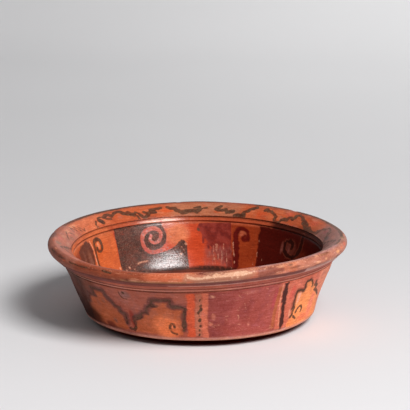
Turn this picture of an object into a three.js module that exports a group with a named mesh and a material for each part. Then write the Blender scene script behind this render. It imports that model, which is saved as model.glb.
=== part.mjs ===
// A low, open pottery bowl, built by hand from coils of clay on a slab with a curved underside.
// From the bottom up: the slab, two wall coils that lean outwards, a neck coil with two incised
// lines where the outside turns out, and a thick rim coil that flares to a rolled lip.
// Millimetres, +Z up. The origin is the centre of the flat disc that the bowl rests on.
import * as THREE from "three";

// Outside of the bowl
const FOOT_DIAMETER = 96; // flat disc worn on the middle of the underside
const BASAL_DIAMETER = 162.2; // blunt edge where the underside turns up into the wall
const BASAL_LIFT = 5.3; // height of that edge above the resting plane
const BASAL_ROUNDING = 1.6; // how far the edge is rounded back along each side
const RIM_DIAMETER = 210; // across the outside of the lip
const LIP_OVERHANG = 9.5; // how far the lip stands out beyond the neck at its lower incised line

// Heights of the pieces, stacked on the resting plane
const SLAB_HEIGHT = 15.8;
const LOWER_COIL_HEIGHT = 12.5;
const UPPER_COIL_HEIGHT = 12.5;
const NECK_COIL_HEIGHT = 7.2;
const RIM_COIL_HEIGHT = 10.4;

// Thickness of the clay
const FLOOR_THICKNESS = 8.5; // at the middle of the floor
const FLOOR_DISH = 1.8; // rise of the floor from its middle to the foot of the wall
const FLOOR_CORNER = 7; // reach of the rounded corner between floor and wall
const WALL_THICKNESS_LOW = 9.6; // level with the top of the slab
const WALL_THICKNESS_HIGH = 9.4; // level with the lower incised line
const WALL_HOLLOW = 0.5; // how far the outside of the wall lies in from a straight line, at most
const LIP_THICKNESS = 8; // diameter of the roll

// Neck and rim
const LOWER_LINE_RISE = 2.6; // incised line above the bottom of the neck coil
const LINE_PITCH = 2.7; // from the lower incised line to the upper one
const LINE_WIDTH = 1.3;
const LINE_DEPTH = 0.55;
const LIP_START = -45; // degrees round the roll, where the flare under the lip runs into it
const LIP_END = 114; // degrees round the roll, where it runs into the flange
const FLANGE_CROWN = 0.85; // bulge of the sloping rim over a straight line
const BREAK_PROUD = 0.65; // the sharp inner edge of the sloping rim stands in from the wall's line
const BREAK_RISE = 2.7; // that edge above the bottom of the rim coil
const INNER_LINE_DROP = 1.35; // lower inner line below the top of the neck coil

// How far the rim strays from a true circle over the foot, and from level. The bowl wasn't thrown on
// a wheel, so each of these grows from nothing at the foot to its full value at the lip.
const RIM_DRIFT = 2.7; // the rim's centre lies this far towards -X, most of it by half the height
const TRILOBE = 0.4; // the rim swells outwards at three places, the first at TRILOBE_ANGLE
const TRILOBE_ANGLE = 0;
const RIM_TILT = 1.5; // the rim rises by this at RIM_TILT_ANGLE and sinks by it across from there
const RIM_TILT_ANGLE = 24;
const RIM_TWIST = 0.9; // it also rises at two places, the first at RIM_TWIST_ANGLE
const RIM_TWIST_ANGLE = -47;
const RIM_RIPPLE = 0.5; // and at three places, the first at RIM_RIPPLE_ANGLE
const RIM_RIPPLE_ANGLE = -58;

// Fineness of the surfaces
const SECTORS = 96;
const LIP_STEPS = 10;
const CURVE_STEPS = 4;
const WALL_STEPS = 3; // up the outside of each wall coil
const LINE_STEPS = 4;

const SLAB_TOP = SLAB_HEIGHT;
const LOWER_TOP = SLAB_TOP + LOWER_COIL_HEIGHT;
const UPPER_TOP = LOWER_TOP + UPPER_COIL_HEIGHT;
const NECK_TOP = UPPER_TOP + NECK_COIL_HEIGHT;
const RIM_TOP = NECK_TOP + RIM_COIL_HEIGHT;
const LOWER_LINE = UPPER_TOP + LOWER_LINE_RISE;
const UPPER_LINE = LOWER_LINE + LINE_PITCH;
const BREAK_HEIGHT = NECK_TOP + BREAK_RISE;
const LOWER_INNER_LINE = NECK_TOP - INNER_LINE_DROP;
const UPPER_INNER_LINE = BREAK_HEIGHT - LINE_WIDTH / 2;

const NECK_RADIUS = RIM_DIAMETER / 2 - LIP_OVERHANG;
const LIP_RADIUS = LIP_THICKNESS / 2;
const LIP_CENTRE = new THREE.Vector2(RIM_DIAMETER / 2 - LIP_RADIUS, RIM_TOP - LIP_RADIUS);

// Profile points are (radius, height), listed with the clay on their left as a profile is followed.
const point = (radius, height) => new THREE.Vector2(radius, height);

function lipPoint(degrees) {
  const angle = THREE.MathUtils.degToRad(degrees);
  return point(Math.cos(angle), Math.sin(angle)).multiplyScalar(LIP_RADIUS).add(LIP_CENTRE);
}

// Radius of the outside of the wall at a height, from the basal edge to the lower incised line.
function wallOutside(height) {
  const share = (height - BASAL_LIFT) / (LOWER_LINE - BASAL_LIFT);
  const hollow = 4 * WALL_HOLLOW * share * (1 - share);
  return THREE.MathUtils.lerp(BASAL_DIAMETER / 2, NECK_RADIUS, share) - hollow;
}

// Radius of the outside from the lower incised line up the flare to the roll of the lip.
function neckOutside(height) {
  const lip = lipPoint(LIP_START);
  return THREE.MathUtils.lerp(NECK_RADIUS, lip.x, (height - LOWER_LINE) / (lip.y - LOWER_LINE));
}

function outside(height) {
  return height < LOWER_LINE ? wallOutside(height) : neckOutside(height);
}

// Radius of the inside of the wall, which thins as it rises.
function wallInside(height) {
  const share = (height - SLAB_TOP) / (LOWER_LINE - SLAB_TOP);
  const low = wallOutside(SLAB_TOP) - WALL_THICKNESS_LOW;
  const high = NECK_RADIUS - WALL_THICKNESS_HIGH;
  return THREE.MathUtils.lerp(low, high, share);
}

// Radius of the ridge that carries the two inner lines, from the wall up to the break.
function ridgeInside(height) {
  const share = (height - LOWER_INNER_LINE) / (BREAK_HEIGHT - LOWER_INNER_LINE);
  return wallInside(height) - BREAK_PROUD * share;
}

// A shallow line pressed into a surface, from its bottom edge up. The clay lies inwards of the outside
// surface, where inwards is -1, and outwards of the inside surface, where it is 1.
function incisedLine(surface, height, side) {
  const points = [];
  for (let step = 0; step <= LINE_STEPS; step++) {
    const share = step / LINE_STEPS;
    const level = height + (share - 0.5) * LINE_WIDTH;
    const depth = LINE_DEPTH * Math.sin(Math.PI * share);
    points.push(point(surface(level) + side * depth, level));
  }
  return points;
}

// A curve through two ends that is pulled towards a control point.
function bend(start, control, end) {
  return new THREE.QuadraticBezierCurve(start, control, end).getPoints(CURVE_STEPS);
}

// A curve between two ends that stands off the straight line between them, away from the clay.
function crowned(start, end, crown) {
  const along = end.clone().sub(start);
  const across = point(along.y, -along.x).setLength(2 * crown);
  const middle = start.clone().add(end).multiplyScalar(0.5);
  return bend(start, middle.add(across), end);
}

// How much of a wave with evenly spaced crests there is at an angle, with a crest at crestAngle.
function wave(crests, angle, crestAngle) {
  return Math.cos(crests * (angle - THREE.MathUtils.degToRad(crestAngle)));
}

// Moves a round surface to where the potter's hands left it. A point's rise is in proportion to its
// radius, so a level ring stays a ruled one and the coils still meet all over.
function shapeByHand(geometry) {
  const position = geometry.getAttribute("position");
  const spot = new THREE.Vector3();
  for (let i = 0; i < position.count; i++) {
    spot.fromBufferAttribute(position, i);
    const angle = Math.atan2(spot.y, spot.x);
    const grown = spot.z / RIM_TOP;
    const share = (grown * Math.hypot(spot.x, spot.y)) / (RIM_DIAMETER / 2);
    const swell = 1 + (grown * TRILOBE * wave(3, angle, TRILOBE_ANGLE)) / (RIM_DIAMETER / 2);
    const rise = RIM_TILT * wave(1, angle, RIM_TILT_ANGLE)
      + RIM_TWIST * wave(2, angle, RIM_TWIST_ANGLE)
      + RIM_RIPPLE * wave(3, angle, RIM_RIPPLE_ANGLE);
    const drift = RIM_DRIFT * grown * (2 - grown);
    position.setXYZ(i, spot.x * swell - drift, spot.y * swell, spot.z + share * rise);
  }
  geometry.computeVertexNormals();
  return geometry;
}

// A turned surface splits each of its four-sided facets by a diagonal. Where the profile runs inwards
// the other diagonal is taken, so that two coils share the triangles of the seam between them.
function matchSeams(geometry, profile) {
  const index = geometry.getIndex();
  for (let i = 0; i < index.count; i += 6) {
    const step = (i / 6) % (profile.length - 1);
    if (profile[step + 1].x >= profile[step].x) continue;
    const [a, b, d, c] = [0, 1, 2, 3].map((corner) => index.getX(i + corner));
    [a, b, c, a, c, d].forEach((vertex, corner) => index.setX(i + corner, vertex));
  }
  return geometry;
}

const slip = { metalness: 0, roughness: 0.45 };
const materials = {
  base: new THREE.MeshStandardMaterial({ color: 0xa8684c, metalness: 0, roughness: 0.8 }),
  wall: new THREE.MeshStandardMaterial({ color: 0xb4523c, ...slip }),
  neck: new THREE.MeshStandardMaterial({ color: 0x8f4a42, ...slip }),
  rim: new THREE.MeshStandardMaterial({ color: 0xc9603a, ...slip }),
};

function turned(name, profile, material) {
  const geometry = matchSeams(new THREE.LatheGeometry(profile, SECTORS), profile);
  const mesh = new THREE.Mesh(shapeByHand(geometry.rotateX(Math.PI / 2)), material);
  mesh.name = name;
  return mesh;
}

// Heights spread evenly from one to another, both included.
function levels(from, to, steps) {
  return Array.from({ length: steps + 1 }, (_, i) => THREE.MathUtils.lerp(from, to, i / steps));
}

// The outside of the wall between two heights.
function outsideWall(bottom, top) {
  return levels(bottom, top, WALL_STEPS).map((height) => point(wallOutside(height), height));
}

// The slab: a flat foot, an underside that curves up to the blunt basal edge, and the start of the wall.
function baseSlab() {
  const foot = point(FOOT_DIAMETER / 2, 0);
  const edge = point(BASAL_DIAMETER / 2, BASAL_LIFT);
  const beforeEdge = edge.clone().add(foot.clone().sub(edge).setLength(BASAL_ROUNDING));
  const afterEdge = point(wallOutside(BASAL_LIFT + BASAL_ROUNDING), BASAL_LIFT + BASAL_ROUNDING);
  const underside = bend(foot, point((foot.x + beforeEdge.x) / 2, 0), beforeEdge);
  const cornerHeight = FLOOR_THICKNESS + FLOOR_DISH;
  const corner = point(wallInside(cornerHeight), cornerHeight);
  const floorEdge = point(corner.x - FLOOR_CORNER, cornerHeight);
  const floor = bend(floorEdge, point(floorEdge.x / 2, FLOOR_THICKNESS), point(0, FLOOR_THICKNESS));
  return turned("base_slab", [
    point(0, 0),
    ...underside.slice(0, -1),
    ...bend(beforeEdge, edge, afterEdge),
    ...outsideWall(afterEdge.y, SLAB_TOP).slice(1),
    ...bend(point(wallInside(SLAB_TOP), SLAB_TOP), corner, floorEdge),
    ...floor.slice(1),
  ], materials.base);
}

// A plain coil of the wall between two heights.
function wallCoil(name, bottom, top) {
  return turned(name, [
    point(wallInside(bottom), bottom),
    ...outsideWall(bottom, top),
    point(wallInside(top), top),
    point(wallInside(bottom), bottom),
  ], materials.wall);
}

// The neck: two incised lines outside, then the start of the flare, and the lower line inside.
function neckCoil() {
  return turned("neck_coil", [
    point(wallInside(UPPER_TOP), UPPER_TOP),
    point(wallOutside(UPPER_TOP), UPPER_TOP),
    ...incisedLine(outside, LOWER_LINE, -1),
    ...incisedLine(outside, UPPER_LINE, -1),
    point(neckOutside(NECK_TOP), NECK_TOP),
    point(ridgeInside(NECK_TOP), NECK_TOP),
    ...incisedLine(ridgeInside, LOWER_INNER_LINE, 1).reverse(),
    point(wallInside(UPPER_TOP), UPPER_TOP),
  ], materials.neck);
}

// The rim: the rest of the flare, the rolled lip, the flange that slopes in to the sharp break, and
// the upper inner line under the break.
function rimCoil() {
  const roll = levels(LIP_START, LIP_END, LIP_STEPS).map(lipPoint);
  const breakEdge = point(ridgeInside(BREAK_HEIGHT), BREAK_HEIGHT);
  return turned("rim_coil", [
    point(ridgeInside(NECK_TOP), NECK_TOP),
    point(neckOutside(NECK_TOP), NECK_TOP),
    ...roll,
    ...crowned(roll.at(-1), breakEdge, FLANGE_CROWN).slice(1, -1),
    ...incisedLine(ridgeInside, UPPER_INNER_LINE, 1).reverse(),
    point(ridgeInside(NECK_TOP), NECK_TOP),
  ], materials.rim);
}

const bowl = new THREE.Group();
bowl.name = "pottery_bowl";
bowl.add(
  baseSlab(),
  wallCoil("lower_wall_coil", SLAB_TOP, LOWER_TOP),
  wallCoil("upper_wall_coil", LOWER_TOP, UPPER_TOP),
  neckCoil(),
  rimCoil(),
);

export default bowl;
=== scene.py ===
"""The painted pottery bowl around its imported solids, on pale paper, with one soft light and the photo's camera.

The bowl is one turned surface that is followed from the middle of the foot, up the outside, over the lip and
down the inside to the middle of the floor. Each solid is replaced by a finer piece cut from that surface.
Lengths are in millimetres and angles in degrees until the meshes are made. Angle 0 is +X, and -90 faces the
camera.
"""
import math

import bpy
import numpy as np
from mathutils import Euler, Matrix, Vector


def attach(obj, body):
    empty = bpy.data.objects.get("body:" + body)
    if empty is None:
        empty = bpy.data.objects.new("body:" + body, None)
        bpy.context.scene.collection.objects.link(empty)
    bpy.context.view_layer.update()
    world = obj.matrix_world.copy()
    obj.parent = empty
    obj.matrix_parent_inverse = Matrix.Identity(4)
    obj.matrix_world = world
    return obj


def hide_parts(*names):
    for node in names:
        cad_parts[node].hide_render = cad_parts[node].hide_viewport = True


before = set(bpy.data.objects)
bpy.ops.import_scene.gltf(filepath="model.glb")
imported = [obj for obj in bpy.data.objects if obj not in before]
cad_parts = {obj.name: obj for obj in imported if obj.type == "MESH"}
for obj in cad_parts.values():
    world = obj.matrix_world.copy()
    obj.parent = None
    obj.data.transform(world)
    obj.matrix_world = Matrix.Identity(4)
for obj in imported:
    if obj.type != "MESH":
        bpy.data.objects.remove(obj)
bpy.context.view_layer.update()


# The bowl's own sizes, as in its solids.
FOOT_RADIUS = 48.0
BASAL_RADIUS = 81.1
BASAL_LIFT = 5.3
BASAL_ROUNDING = 1.6
RIM_RADIUS = 105.0
LIP_OVERHANG = 9.5
SEAMS = (15.8, 28.3, 40.8, 48.0)
RIM_TOP = 58.4
FLOOR_THICKNESS = 8.5
FLOOR_DISH = 1.8
FLOOR_CORNER = 7.0
WALL_LOW = 9.6
WALL_HIGH = 9.4
WALL_HOLLOW = 0.5
LIP_RADIUS = 4.0
LOWER_LINE = 43.4
UPPER_LINE = 46.1
LINE_WIDTH = 1.3
LINE_DEPTH = 0.6
LIP_START = -45.0
LIP_END = 114.0
FLANGE_CROWN = 0.85
BREAK_PROUD = 0.65
BREAK_HEIGHT = 50.7
LOWER_INNER_LINE = 46.65
UPPER_INNER_LINE = BREAK_HEIGHT - LINE_WIDTH / 2
CORNER_TOP = 18.8  # where the rounded corner between wall and floor ends

# How far the hands left the rim from true, as in the solids.
RIM_DRIFT = 2.7
TRILOBE = 0.4
WAVES = ((1.5, 1, 24.0), (0.9, 2, -47.0), (0.5, 3, -58.0))  # rise, number of crests, angle of the first

# Small forms that only this finer surface has.
INNER_BOW = 1.2  # how far the inside of the wall bows out, most at a third of the way up from BOW_START
BOW_START = 12.8
RIDGE_TILT = 0.34  # how much more the ridge between the two inner lines leans back than the wall
SETTLE = 0.5  # how much lower all but the foot stands
MIDDLE_STRAY = 0.6  # how much less the upper wall drifts, most at STRAY_HEIGHT
STRAY_HEIGHT = 37
STRAY_REACH = 7

SECTORS = 800
PROFILE_STEP = 0.04  # between the points of the profile, before the rows of the mesh are chosen
CORNER_BLUR = 0.22  # how far every corner of the profile is softened
MEAN_GIRTH = 610  # rough length round the bowl and between rows, for noise over the whole surface
MEAN_GAP = 0.75
BRUSH_RADIUS = 90  # of the round space in which the brush streaks run
NECK_RADIUS = RIM_RADIUS - LIP_OVERHANG
LIP_CENTRE = (RIM_RADIUS - LIP_RADIUS, RIM_TOP - LIP_RADIUS)


def lerp(a, b, t):
    return a + (b - a) * t


def wall_outside(z):
    share = (z - BASAL_LIFT) / (LOWER_LINE - BASAL_LIFT)
    return lerp(BASAL_RADIUS, NECK_RADIUS, share) - 4 * WALL_HOLLOW * share * (1 - share)


def lip_point(degrees):
    a = math.radians(degrees)
    return (LIP_CENTRE[0] + LIP_RADIUS * math.cos(a), LIP_CENTRE[1] + LIP_RADIUS * math.sin(a))


FLARE_TOP = lip_point(LIP_START)


def neck_outside(z):
    return lerp(NECK_RADIUS, FLARE_TOP[0], (z - LOWER_LINE) / (FLARE_TOP[1] - LOWER_LINE))


def outside(z):
    return wall_outside(z) if z < LOWER_LINE else neck_outside(z)


def wall_inside(z):
    share = (z - SEAMS[0]) / (LOWER_LINE - SEAMS[0])
    straight = lerp(wall_outside(SEAMS[0]) - WALL_LOW, NECK_RADIUS - WALL_HIGH, share)
    up = min(1.0, max(0.0, (z - BOW_START) / (LOWER_INNER_LINE - BOW_START)))
    return straight + INNER_BOW * 27 / 4 * up * (1 - up) ** 2  # what follows 27 / 4 is 4 / 27 at the most


def ridge_inside(z):
    return wall_inside(z) - BREAK_PROUD * (z - LOWER_INNER_LINE) / (BREAK_HEIGHT - LOWER_INNER_LINE)


def ridge_face(z):
    middle = (UPPER_INNER_LINE + LOWER_INNER_LINE) / 2
    return ridge_inside(z) + RIDGE_TILT * (z - middle)


def bend(a, control, b, steps=60):
    t = np.linspace(0, 1, steps)[:, None]
    a, control, b = (np.array(p, float) for p in (a, control, b))
    return (1 - t) ** 2 * a + 2 * t * (1 - t) * control + t ** 2 * b


def side(surface, low, high, steps=60):
    return np.array([(surface(z), z) for z in np.linspace(low, high, steps)])


def incised(surface, height, into):
    """A line pressed into a surface, from its bottom edge up. Clay lies at -1 outside and at 1 inside."""
    share = np.linspace(0, 1, 24)
    z = height + (share - 0.5) * LINE_WIDTH
    r = np.array([surface(v) for v in z]) + into * LINE_DEPTH * np.sin(math.pi * share)
    return np.stack([r, z], 1)


def whole_profile():
    """(radius, height) along the whole surface at even steps, with its corners rounded a little as in clay."""
    foot = np.array([FOOT_RADIUS, 0.0])
    edge = np.array([BASAL_RADIUS, BASAL_LIFT])
    before = edge + (foot - edge) / np.linalg.norm(foot - edge) * BASAL_ROUNDING
    after = (wall_outside(BASAL_LIFT + BASAL_ROUNDING), BASAL_LIFT + BASAL_ROUNDING)
    half = LINE_WIDTH / 2
    roll = np.array([lip_point(a) for a in np.linspace(LIP_START, LIP_END, 120)])
    brink = np.array([ridge_inside(BREAK_HEIGHT), BREAK_HEIGHT])
    along = brink - roll[-1]
    outwards = np.array([along[1], -along[0]]) / np.linalg.norm(along)
    crown = (brink + roll[-1]) / 2 + outwards * 2 * FLANGE_CROWN
    corner_z = FLOOR_THICKNESS + FLOOR_DISH
    corner = (wall_inside(corner_z), corner_z)
    floor_edge = (corner[0] - FLOOR_CORNER, corner_z)
    parts = [
        np.array([(0.0, 0.0), tuple(foot)]),
        bend(foot, ((foot[0] + before[0]) / 2, 0.0), before),
        bend(before, edge, after),
        side(outside, after[1], LOWER_LINE - half),
        incised(outside, LOWER_LINE, -1),
        side(outside, LOWER_LINE + half, UPPER_LINE - half, 20),
        incised(outside, UPPER_LINE, -1),
        side(outside, UPPER_LINE + half, FLARE_TOP[1]),
        roll,
        bend(roll[-1], crown, brink),
        incised(ridge_inside, UPPER_INNER_LINE, 1)[::-1],
        side(ridge_face, UPPER_INNER_LINE - half, LOWER_INNER_LINE + half, 20),
        incised(ridge_inside, LOWER_INNER_LINE, 1)[::-1],
        side(wall_inside, LOWER_INNER_LINE - half, CORNER_TOP),
        bend((wall_inside(CORNER_TOP), CORNER_TOP), corner, floor_edge),
        bend(floor_edge, (floor_edge[0] / 2, FLOOR_THICKNESS), (0.0, FLOOR_THICKNESS)),
    ]
    points = np.concatenate(parts)
    gaps = np.hypot(*np.diff(points, axis=0).T)
    points = points[np.concatenate([[True], gaps > 1e-6])]
    lengths = np.concatenate([[0], np.cumsum(np.hypot(*np.diff(points, axis=0).T))])
    s = np.arange(0, lengths[-1], PROFILE_STEP)
    fine = np.stack([np.interp(s, lengths, points[:, k]) for k in (0, 1)], 1)
    reach = 18  # of the softening, in points
    weight = np.exp(-0.5 * (np.arange(-reach, reach + 1) * PROFILE_STEP / CORNER_BLUR) ** 2)
    weight /= weight.sum()
    padded = np.pad(fine, ((reach, reach), (0, 0)), mode="edge")
    fine = np.stack([np.convolve(padded[:, k], weight, "valid") for k in (0, 1)], 1)
    fine[0, 0] = fine[-1, 0] = 0.0
    fine[fine[:, 1] < 1e-3, 1] = 0.0
    return s, fine[:, 0], fine[:, 1]


LENGTH, RADIUS, HEIGHT = whole_profile()
TOP = int(np.argmax(HEIGHT))


def length_at(height, inner):
    """How far along the surface a height is reached, outside or inside, at or above the lowest seam."""
    if inner:
        part = np.nonzero((np.arange(len(LENGTH)) > TOP) & (HEIGHT <= height))[0][0]
    else:
        part = np.nonzero(HEIGHT >= height)[0][0]
    a, b = HEIGHT[part - 1], HEIGHT[part]
    return LENGTH[part - 1] + (height - a) / (b - a) * (LENGTH[part] - LENGTH[part - 1])


SEAMS_OUT = [length_at(z, False) for z in SEAMS]
SEAMS_IN = [length_at(z, True) for z in SEAMS][::-1]
BASAL_LENGTH = float(LENGTH[np.nonzero(HEIGHT > BASAL_LIFT)[0][0]])
FLARE_LENGTH = length_at(FLARE_TOP[1], False)
CREST_LENGTH = float(LENGTH[TOP])
BREAK_LENGTH = length_at(BREAK_HEIGHT, True)
FLANGE_LENGTH = CREST_LENGTH + LIP_RADIUS * math.radians(24)
FLOOR_LENGTH = float(LENGTH[-1]) - (wall_inside(FLOOR_THICKNESS + FLOOR_DISH) - FLOOR_CORNER)
CORNER_LENGTH = length_at(CORNER_TOP, True)


def spacing(s):
    """How far apart the rows of the mesh lie at a place along the surface."""
    spots = [
        (0, 4.0), (FOOT_RADIUS, 2.0), (BASAL_LENGTH - 4, 1.0), (BASAL_LENGTH - 2, 0.4), (BASAL_LENGTH + 2, 0.4),
        (BASAL_LENGTH + 5, 0.85), (SEAMS_OUT[2], 0.85), (SEAMS_OUT[2] + 1, 0.28), (SEAMS_OUT[3] - 1.5, 0.28),
        (SEAMS_OUT[3], 0.5), (FLARE_LENGTH, 0.4), (FLANGE_LENGTH, 0.6), (BREAK_LENGTH - 2, 0.6),
        (BREAK_LENGTH - 0.6, 0.25), (BREAK_LENGTH + 5, 0.28), (BREAK_LENGTH + 7, 0.8), (CORNER_LENGTH, 0.8),
        (FLOOR_LENGTH, 1.0), (FLOOR_LENGTH + 12, 1.6), (float(LENGTH[-1]), 4.0),
    ]
    return np.interp(s, [a for a, _ in spots], [b for _, b in spots])


def rows_between(a, b):
    """Places from a to b, both included, about as far apart as spacing() says."""
    marks = [a]
    while marks[-1] < b:
        marks.append(marks[-1] + float(spacing(marks[-1])))
    marks = np.array(marks)
    return a + (marks - a) * (b - a) / (marks[-1] - a)


STATIONS = [0.0, *SEAMS_OUT, *SEAMS_IN, float(LENGTH[-1])]
runs = [rows_between(a, b) for a, b in zip(STATIONS, STATIONS[1:])]
ROWS = np.concatenate([run[:-1] for run in runs] + [runs[-1][-1:]])
STARTS = np.concatenate([[0], np.cumsum([len(run) - 1 for run in runs])])
R = np.interp(ROWS, LENGTH, RADIUS)
Z = np.interp(ROWS, LENGTH, HEIGHT)
ANGLES = -180 + 360 * np.arange(SECTORS) / SECTORS
PHI = np.radians(ANGLES)[None, :]

rng = np.random.default_rng(61)


def soft_step(low, high, x):
    t = np.clip((x - low) / (high - low), 0, 1)
    return t * t * (3 - 2 * t)


def away(angle):
    """Degrees from each column of the surface to an angle, between -180 and 180."""
    return (ANGLES - angle + 180) % 360 - 180


def off_line(x, y, a, b):
    """How far points lie from the straight line between a and b, and the share of it at which it is nearest."""
    dx, dy = b - a
    t = np.clip(((x - a[0]) * dx + (y - a[1]) * dy) / max(dx * dx + dy * dy, 1e-9), 0, 1)
    return np.hypot(x - a[0] - t * dx, y - a[1] - t * dy), t


class Canvas:
    """One side of the bowl, unrolled: degrees along it and millimetres up it. Paint is kept as the distance in
    millimetres from each point to the edge of the paint, above 0 where it is painted."""

    def __init__(self, first, last, level, stretch, per_degree):
        self.rows = np.nonzero((ROWS >= first) & (ROWS <= last))[0]
        self.level = level[self.rows]
        self.stretch = stretch
        self.per_degree = per_degree

    def place(self, points):
        """The part of this side near the points, its own unrolled coordinates, and the points in them."""
        points = np.array(points, float)
        middle = (points[:, 0].min() + points[:, 0].max()) / 2
        reach = (points[:, 0].max() - points[:, 0].min()) / 2 + 8 / self.per_degree
        off = away(middle)
        columns = np.nonzero(np.abs(off) <= reach)[0]
        across = off[columns] * self.per_degree
        flat = np.stack([(points[:, 0] - middle) * self.per_degree, points[:, 1] * self.stretch], 1)
        x, y = np.broadcast_arrays(across[None, :], (self.level * self.stretch)[:, None])
        return np.ix_(self.rows, columns), x, y, flat

    def polygon(self, points):
        where, x, y, flat = self.place(points)
        nearest = np.full(x.shape, 1e9)
        inside = np.zeros(x.shape, bool)
        for a, b in zip(flat, np.roll(flat, -1, 0)):
            nearest = np.minimum(nearest, off_line(x, y, a, b)[0])
            dx, dy = b - a
            crosses = (a[1] > y) != (b[1] > y)
            inside ^= crosses & (x < a[0] + (y - a[1]) / (dy if dy else 1e-9) * dx)
        return where, np.where(inside, nearest, -nearest)

    def brush(self, points, widths):
        where, x, y, flat = self.place(points)
        widths = np.broadcast_to(np.array(widths, float), len(flat))
        best = np.full(x.shape, -1e9)
        for a, b, wide_a, wide_b in zip(flat, flat[1:], widths, widths[1:]):
            distance, t = off_line(x, y, a, b)
            best = np.maximum(best, lerp(wide_a, wide_b, t) / 2 - distance)
        return where, best

    def zone(self, low, high, bottom, top, soft):
        """1 inside a block of the surface, falling to 0 over soft millimetres around it."""
        middle, half = (low + high) / 2, (high - low) / 2
        along = (np.abs(away(middle)) - half)[None, :] * self.per_degree
        up = (np.abs(self.level - (bottom + top) / 2) - (top - bottom) / 2)[:, None] * self.stretch
        return np.ix_(self.rows, np.arange(SECTORS)), 1 - soft_step(0, soft, np.maximum(along, up))

    def around(self, angle, level, wide, tall):
        """1 in the middle of a round mark with these half sizes in millimetres, falling to 0 outside it."""
        along = away(angle)[None, :] * self.per_degree / wide
        up = (self.level - level)[:, None] * self.stretch / tall
        return np.ix_(self.rows, np.arange(SECTORS)), 1 - soft_step(0.55, 1.25, np.hypot(along, up))


DATUM = 1.8  # heights on both sides are given from this far above the foot
OUTER = Canvas(BASAL_LENGTH - 3, CREST_LENGTH, Z - DATUM, 1.07, 1.536)
INNER = Canvas(BREAK_LENGTH, FLOOR_LENGTH, Z - DATUM, 1.09, 1.41)
FLANGE = Canvas(CREST_LENGTH, BREAK_LENGTH, R, 1.22, 1.64)
LIP = Canvas(FLARE_LENGTH - 4, FLANGE_LENGTH + 3, ROWS - CREST_LENGTH, 1.0, 1.79)  # level 0 at the crest

LAYERS = ("maroon", "black", "line", "pale", "cream")
FAR = -9.0  # where there is no paint
paint = {layer: np.full((len(ROWS), SECTORS), FAR) for layer in LAYERS}
MASKS = ("fade", "wear", "soot", "dust", "inside", "glaze", "grain")
amount = {name: np.zeros((len(ROWS), SECTORS)) for name in MASKS}


def clouds(around, along_surface, size):
    """Smooth random unevenness over the whole surface, mostly within size. The two lengths are in mm."""
    noise = rng.normal(size=(len(ROWS), SECTORS))
    waves = np.fft.rfftfreq(SECTORS)[None, :] * SECTORS / MEAN_GIRTH
    steps = np.fft.fftfreq(len(ROWS))[:, None] / MEAN_GAP
    keep = np.exp(-2 * math.pi ** 2 * ((waves * around) ** 2 + (steps * along_surface) ** 2))
    out = np.fft.irfft2(np.fft.rfft2(noise) * keep, s=noise.shape)
    return out / out.std() * size


RAGGED = clouds(0.9, 0.7, 0.28) + clouds(3.0, 1.2, 0.22)


def fill(canvas, layer, points):
    where, distance = canvas.polygon(points)
    paint[layer][where] = np.maximum(paint[layer][where], distance)


def stroke(canvas, layer, points, widths, curved=False):
    if curved:
        points, widths = curve(points, widths)
    where, distance = canvas.brush(points, widths)
    paint[layer][where] = np.maximum(paint[layer][where], distance)


def dabs(canvas, layer, points, width, touch=2.4):
    """A line set down in short uneven touches of the brush, about this many millimetres long."""
    points = np.array(points, float)
    scale = np.array([canvas.per_degree, canvas.stretch])
    for a, b in zip(points, points[1:]):
        count = max(1, round(float(np.hypot(*((b - a) * scale))) / touch))
        marks = [lerp(a, b, t) + rng.normal(0, 0.14, 2) / scale for t in np.linspace(0, 1, count + 1)]
        for one, two in zip(marks, marks[1:]):
            widths = (width * rng.uniform(0.68, 1.25), width * rng.uniform(0.68, 1.25))
            stroke(canvas, layer, [one, two], widths)


def clear(canvas, layer, points, widths=None):
    """Takes paint away inside a polygon, or along a curved brush stroke if widths are given."""
    if widths is None:
        where, distance = canvas.polygon(points)
    else:
        where, distance = canvas.brush(*curve(points, widths))
    paint[layer][where] = np.minimum(paint[layer][where], -distance)


def add(name, canvas, low, high, bottom, top, strength, soft):
    """A block of one of the masks with a soft edge."""
    where, share = canvas.zone(low, high, bottom, top, soft)
    amount[name][where] = np.maximum(amount[name][where], share * strength)


def blot(name, canvas, angle, level, wide, tall, strength):
    """A soft round mark in one of the masks; wide and tall are its half sizes in millimetres."""
    where, share = canvas.around(angle, level, wide, tall)
    amount[name][where] = np.maximum(amount[name][where], share * strength)


def curve(points, widths, steps=6):
    """A smooth line through the points, with its widths."""
    points = np.array(points, float)
    widths = np.broadcast_to(np.array(widths, float), len(points))
    full = np.concatenate([points, widths[:, None]], 1)
    ends = np.concatenate([[2 * full[0] - full[1]], full, [2 * full[-1] - full[-2]]])
    out = []
    for k in range(1, len(ends) - 2):
        p0, p1, p2, p3 = ends[k - 1:k + 3]
        for t in np.arange(steps) / steps:
            out.append(0.5 * (2 * p1 + (p2 - p0) * t + (2 * p0 - 5 * p1 + 4 * p2 - p3) * t * t
                              + (3 * p1 - p0 - 3 * p2 + p3) * t ** 3))
    out = np.array(out + [full[-1]])
    return out[:, :2], out[:, 2]


def shifted(points, by, squeeze=1.0, origin=None):
    """The points turned by an angle, and drawn together round an origin or else round the first of them."""
    points = np.array(points, float)
    origin = points[0, 0] if origin is None else origin
    return np.stack([origin + by + (points[:, 0] - origin) * squeeze, points[:, 1]], 1)


def linear(colour):
    """An sRGB colour in 0 to 255 as the linear light that the renderer takes."""
    c = np.array(colour, float) / 255
    return np.where(c <= 0.04045, c / 12.92, ((c + 0.055) / 1.055) ** 2.4)


ORANGE = (192, 92, 54)
RED = (180, 66, 42)
ROSY = (184, 94, 72)
BROWN = (94, 38, 22)
PANEL = (158, 74, 66)  # the purple-red panels outside
STAIN_AND_SHADE = (64, 20, 6)  # the brown-black on the left: partly a stain, partly painted shade on the side turned from the light
ground = np.tile(linear(RED), (len(ROWS), SECTORS, 1))


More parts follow.
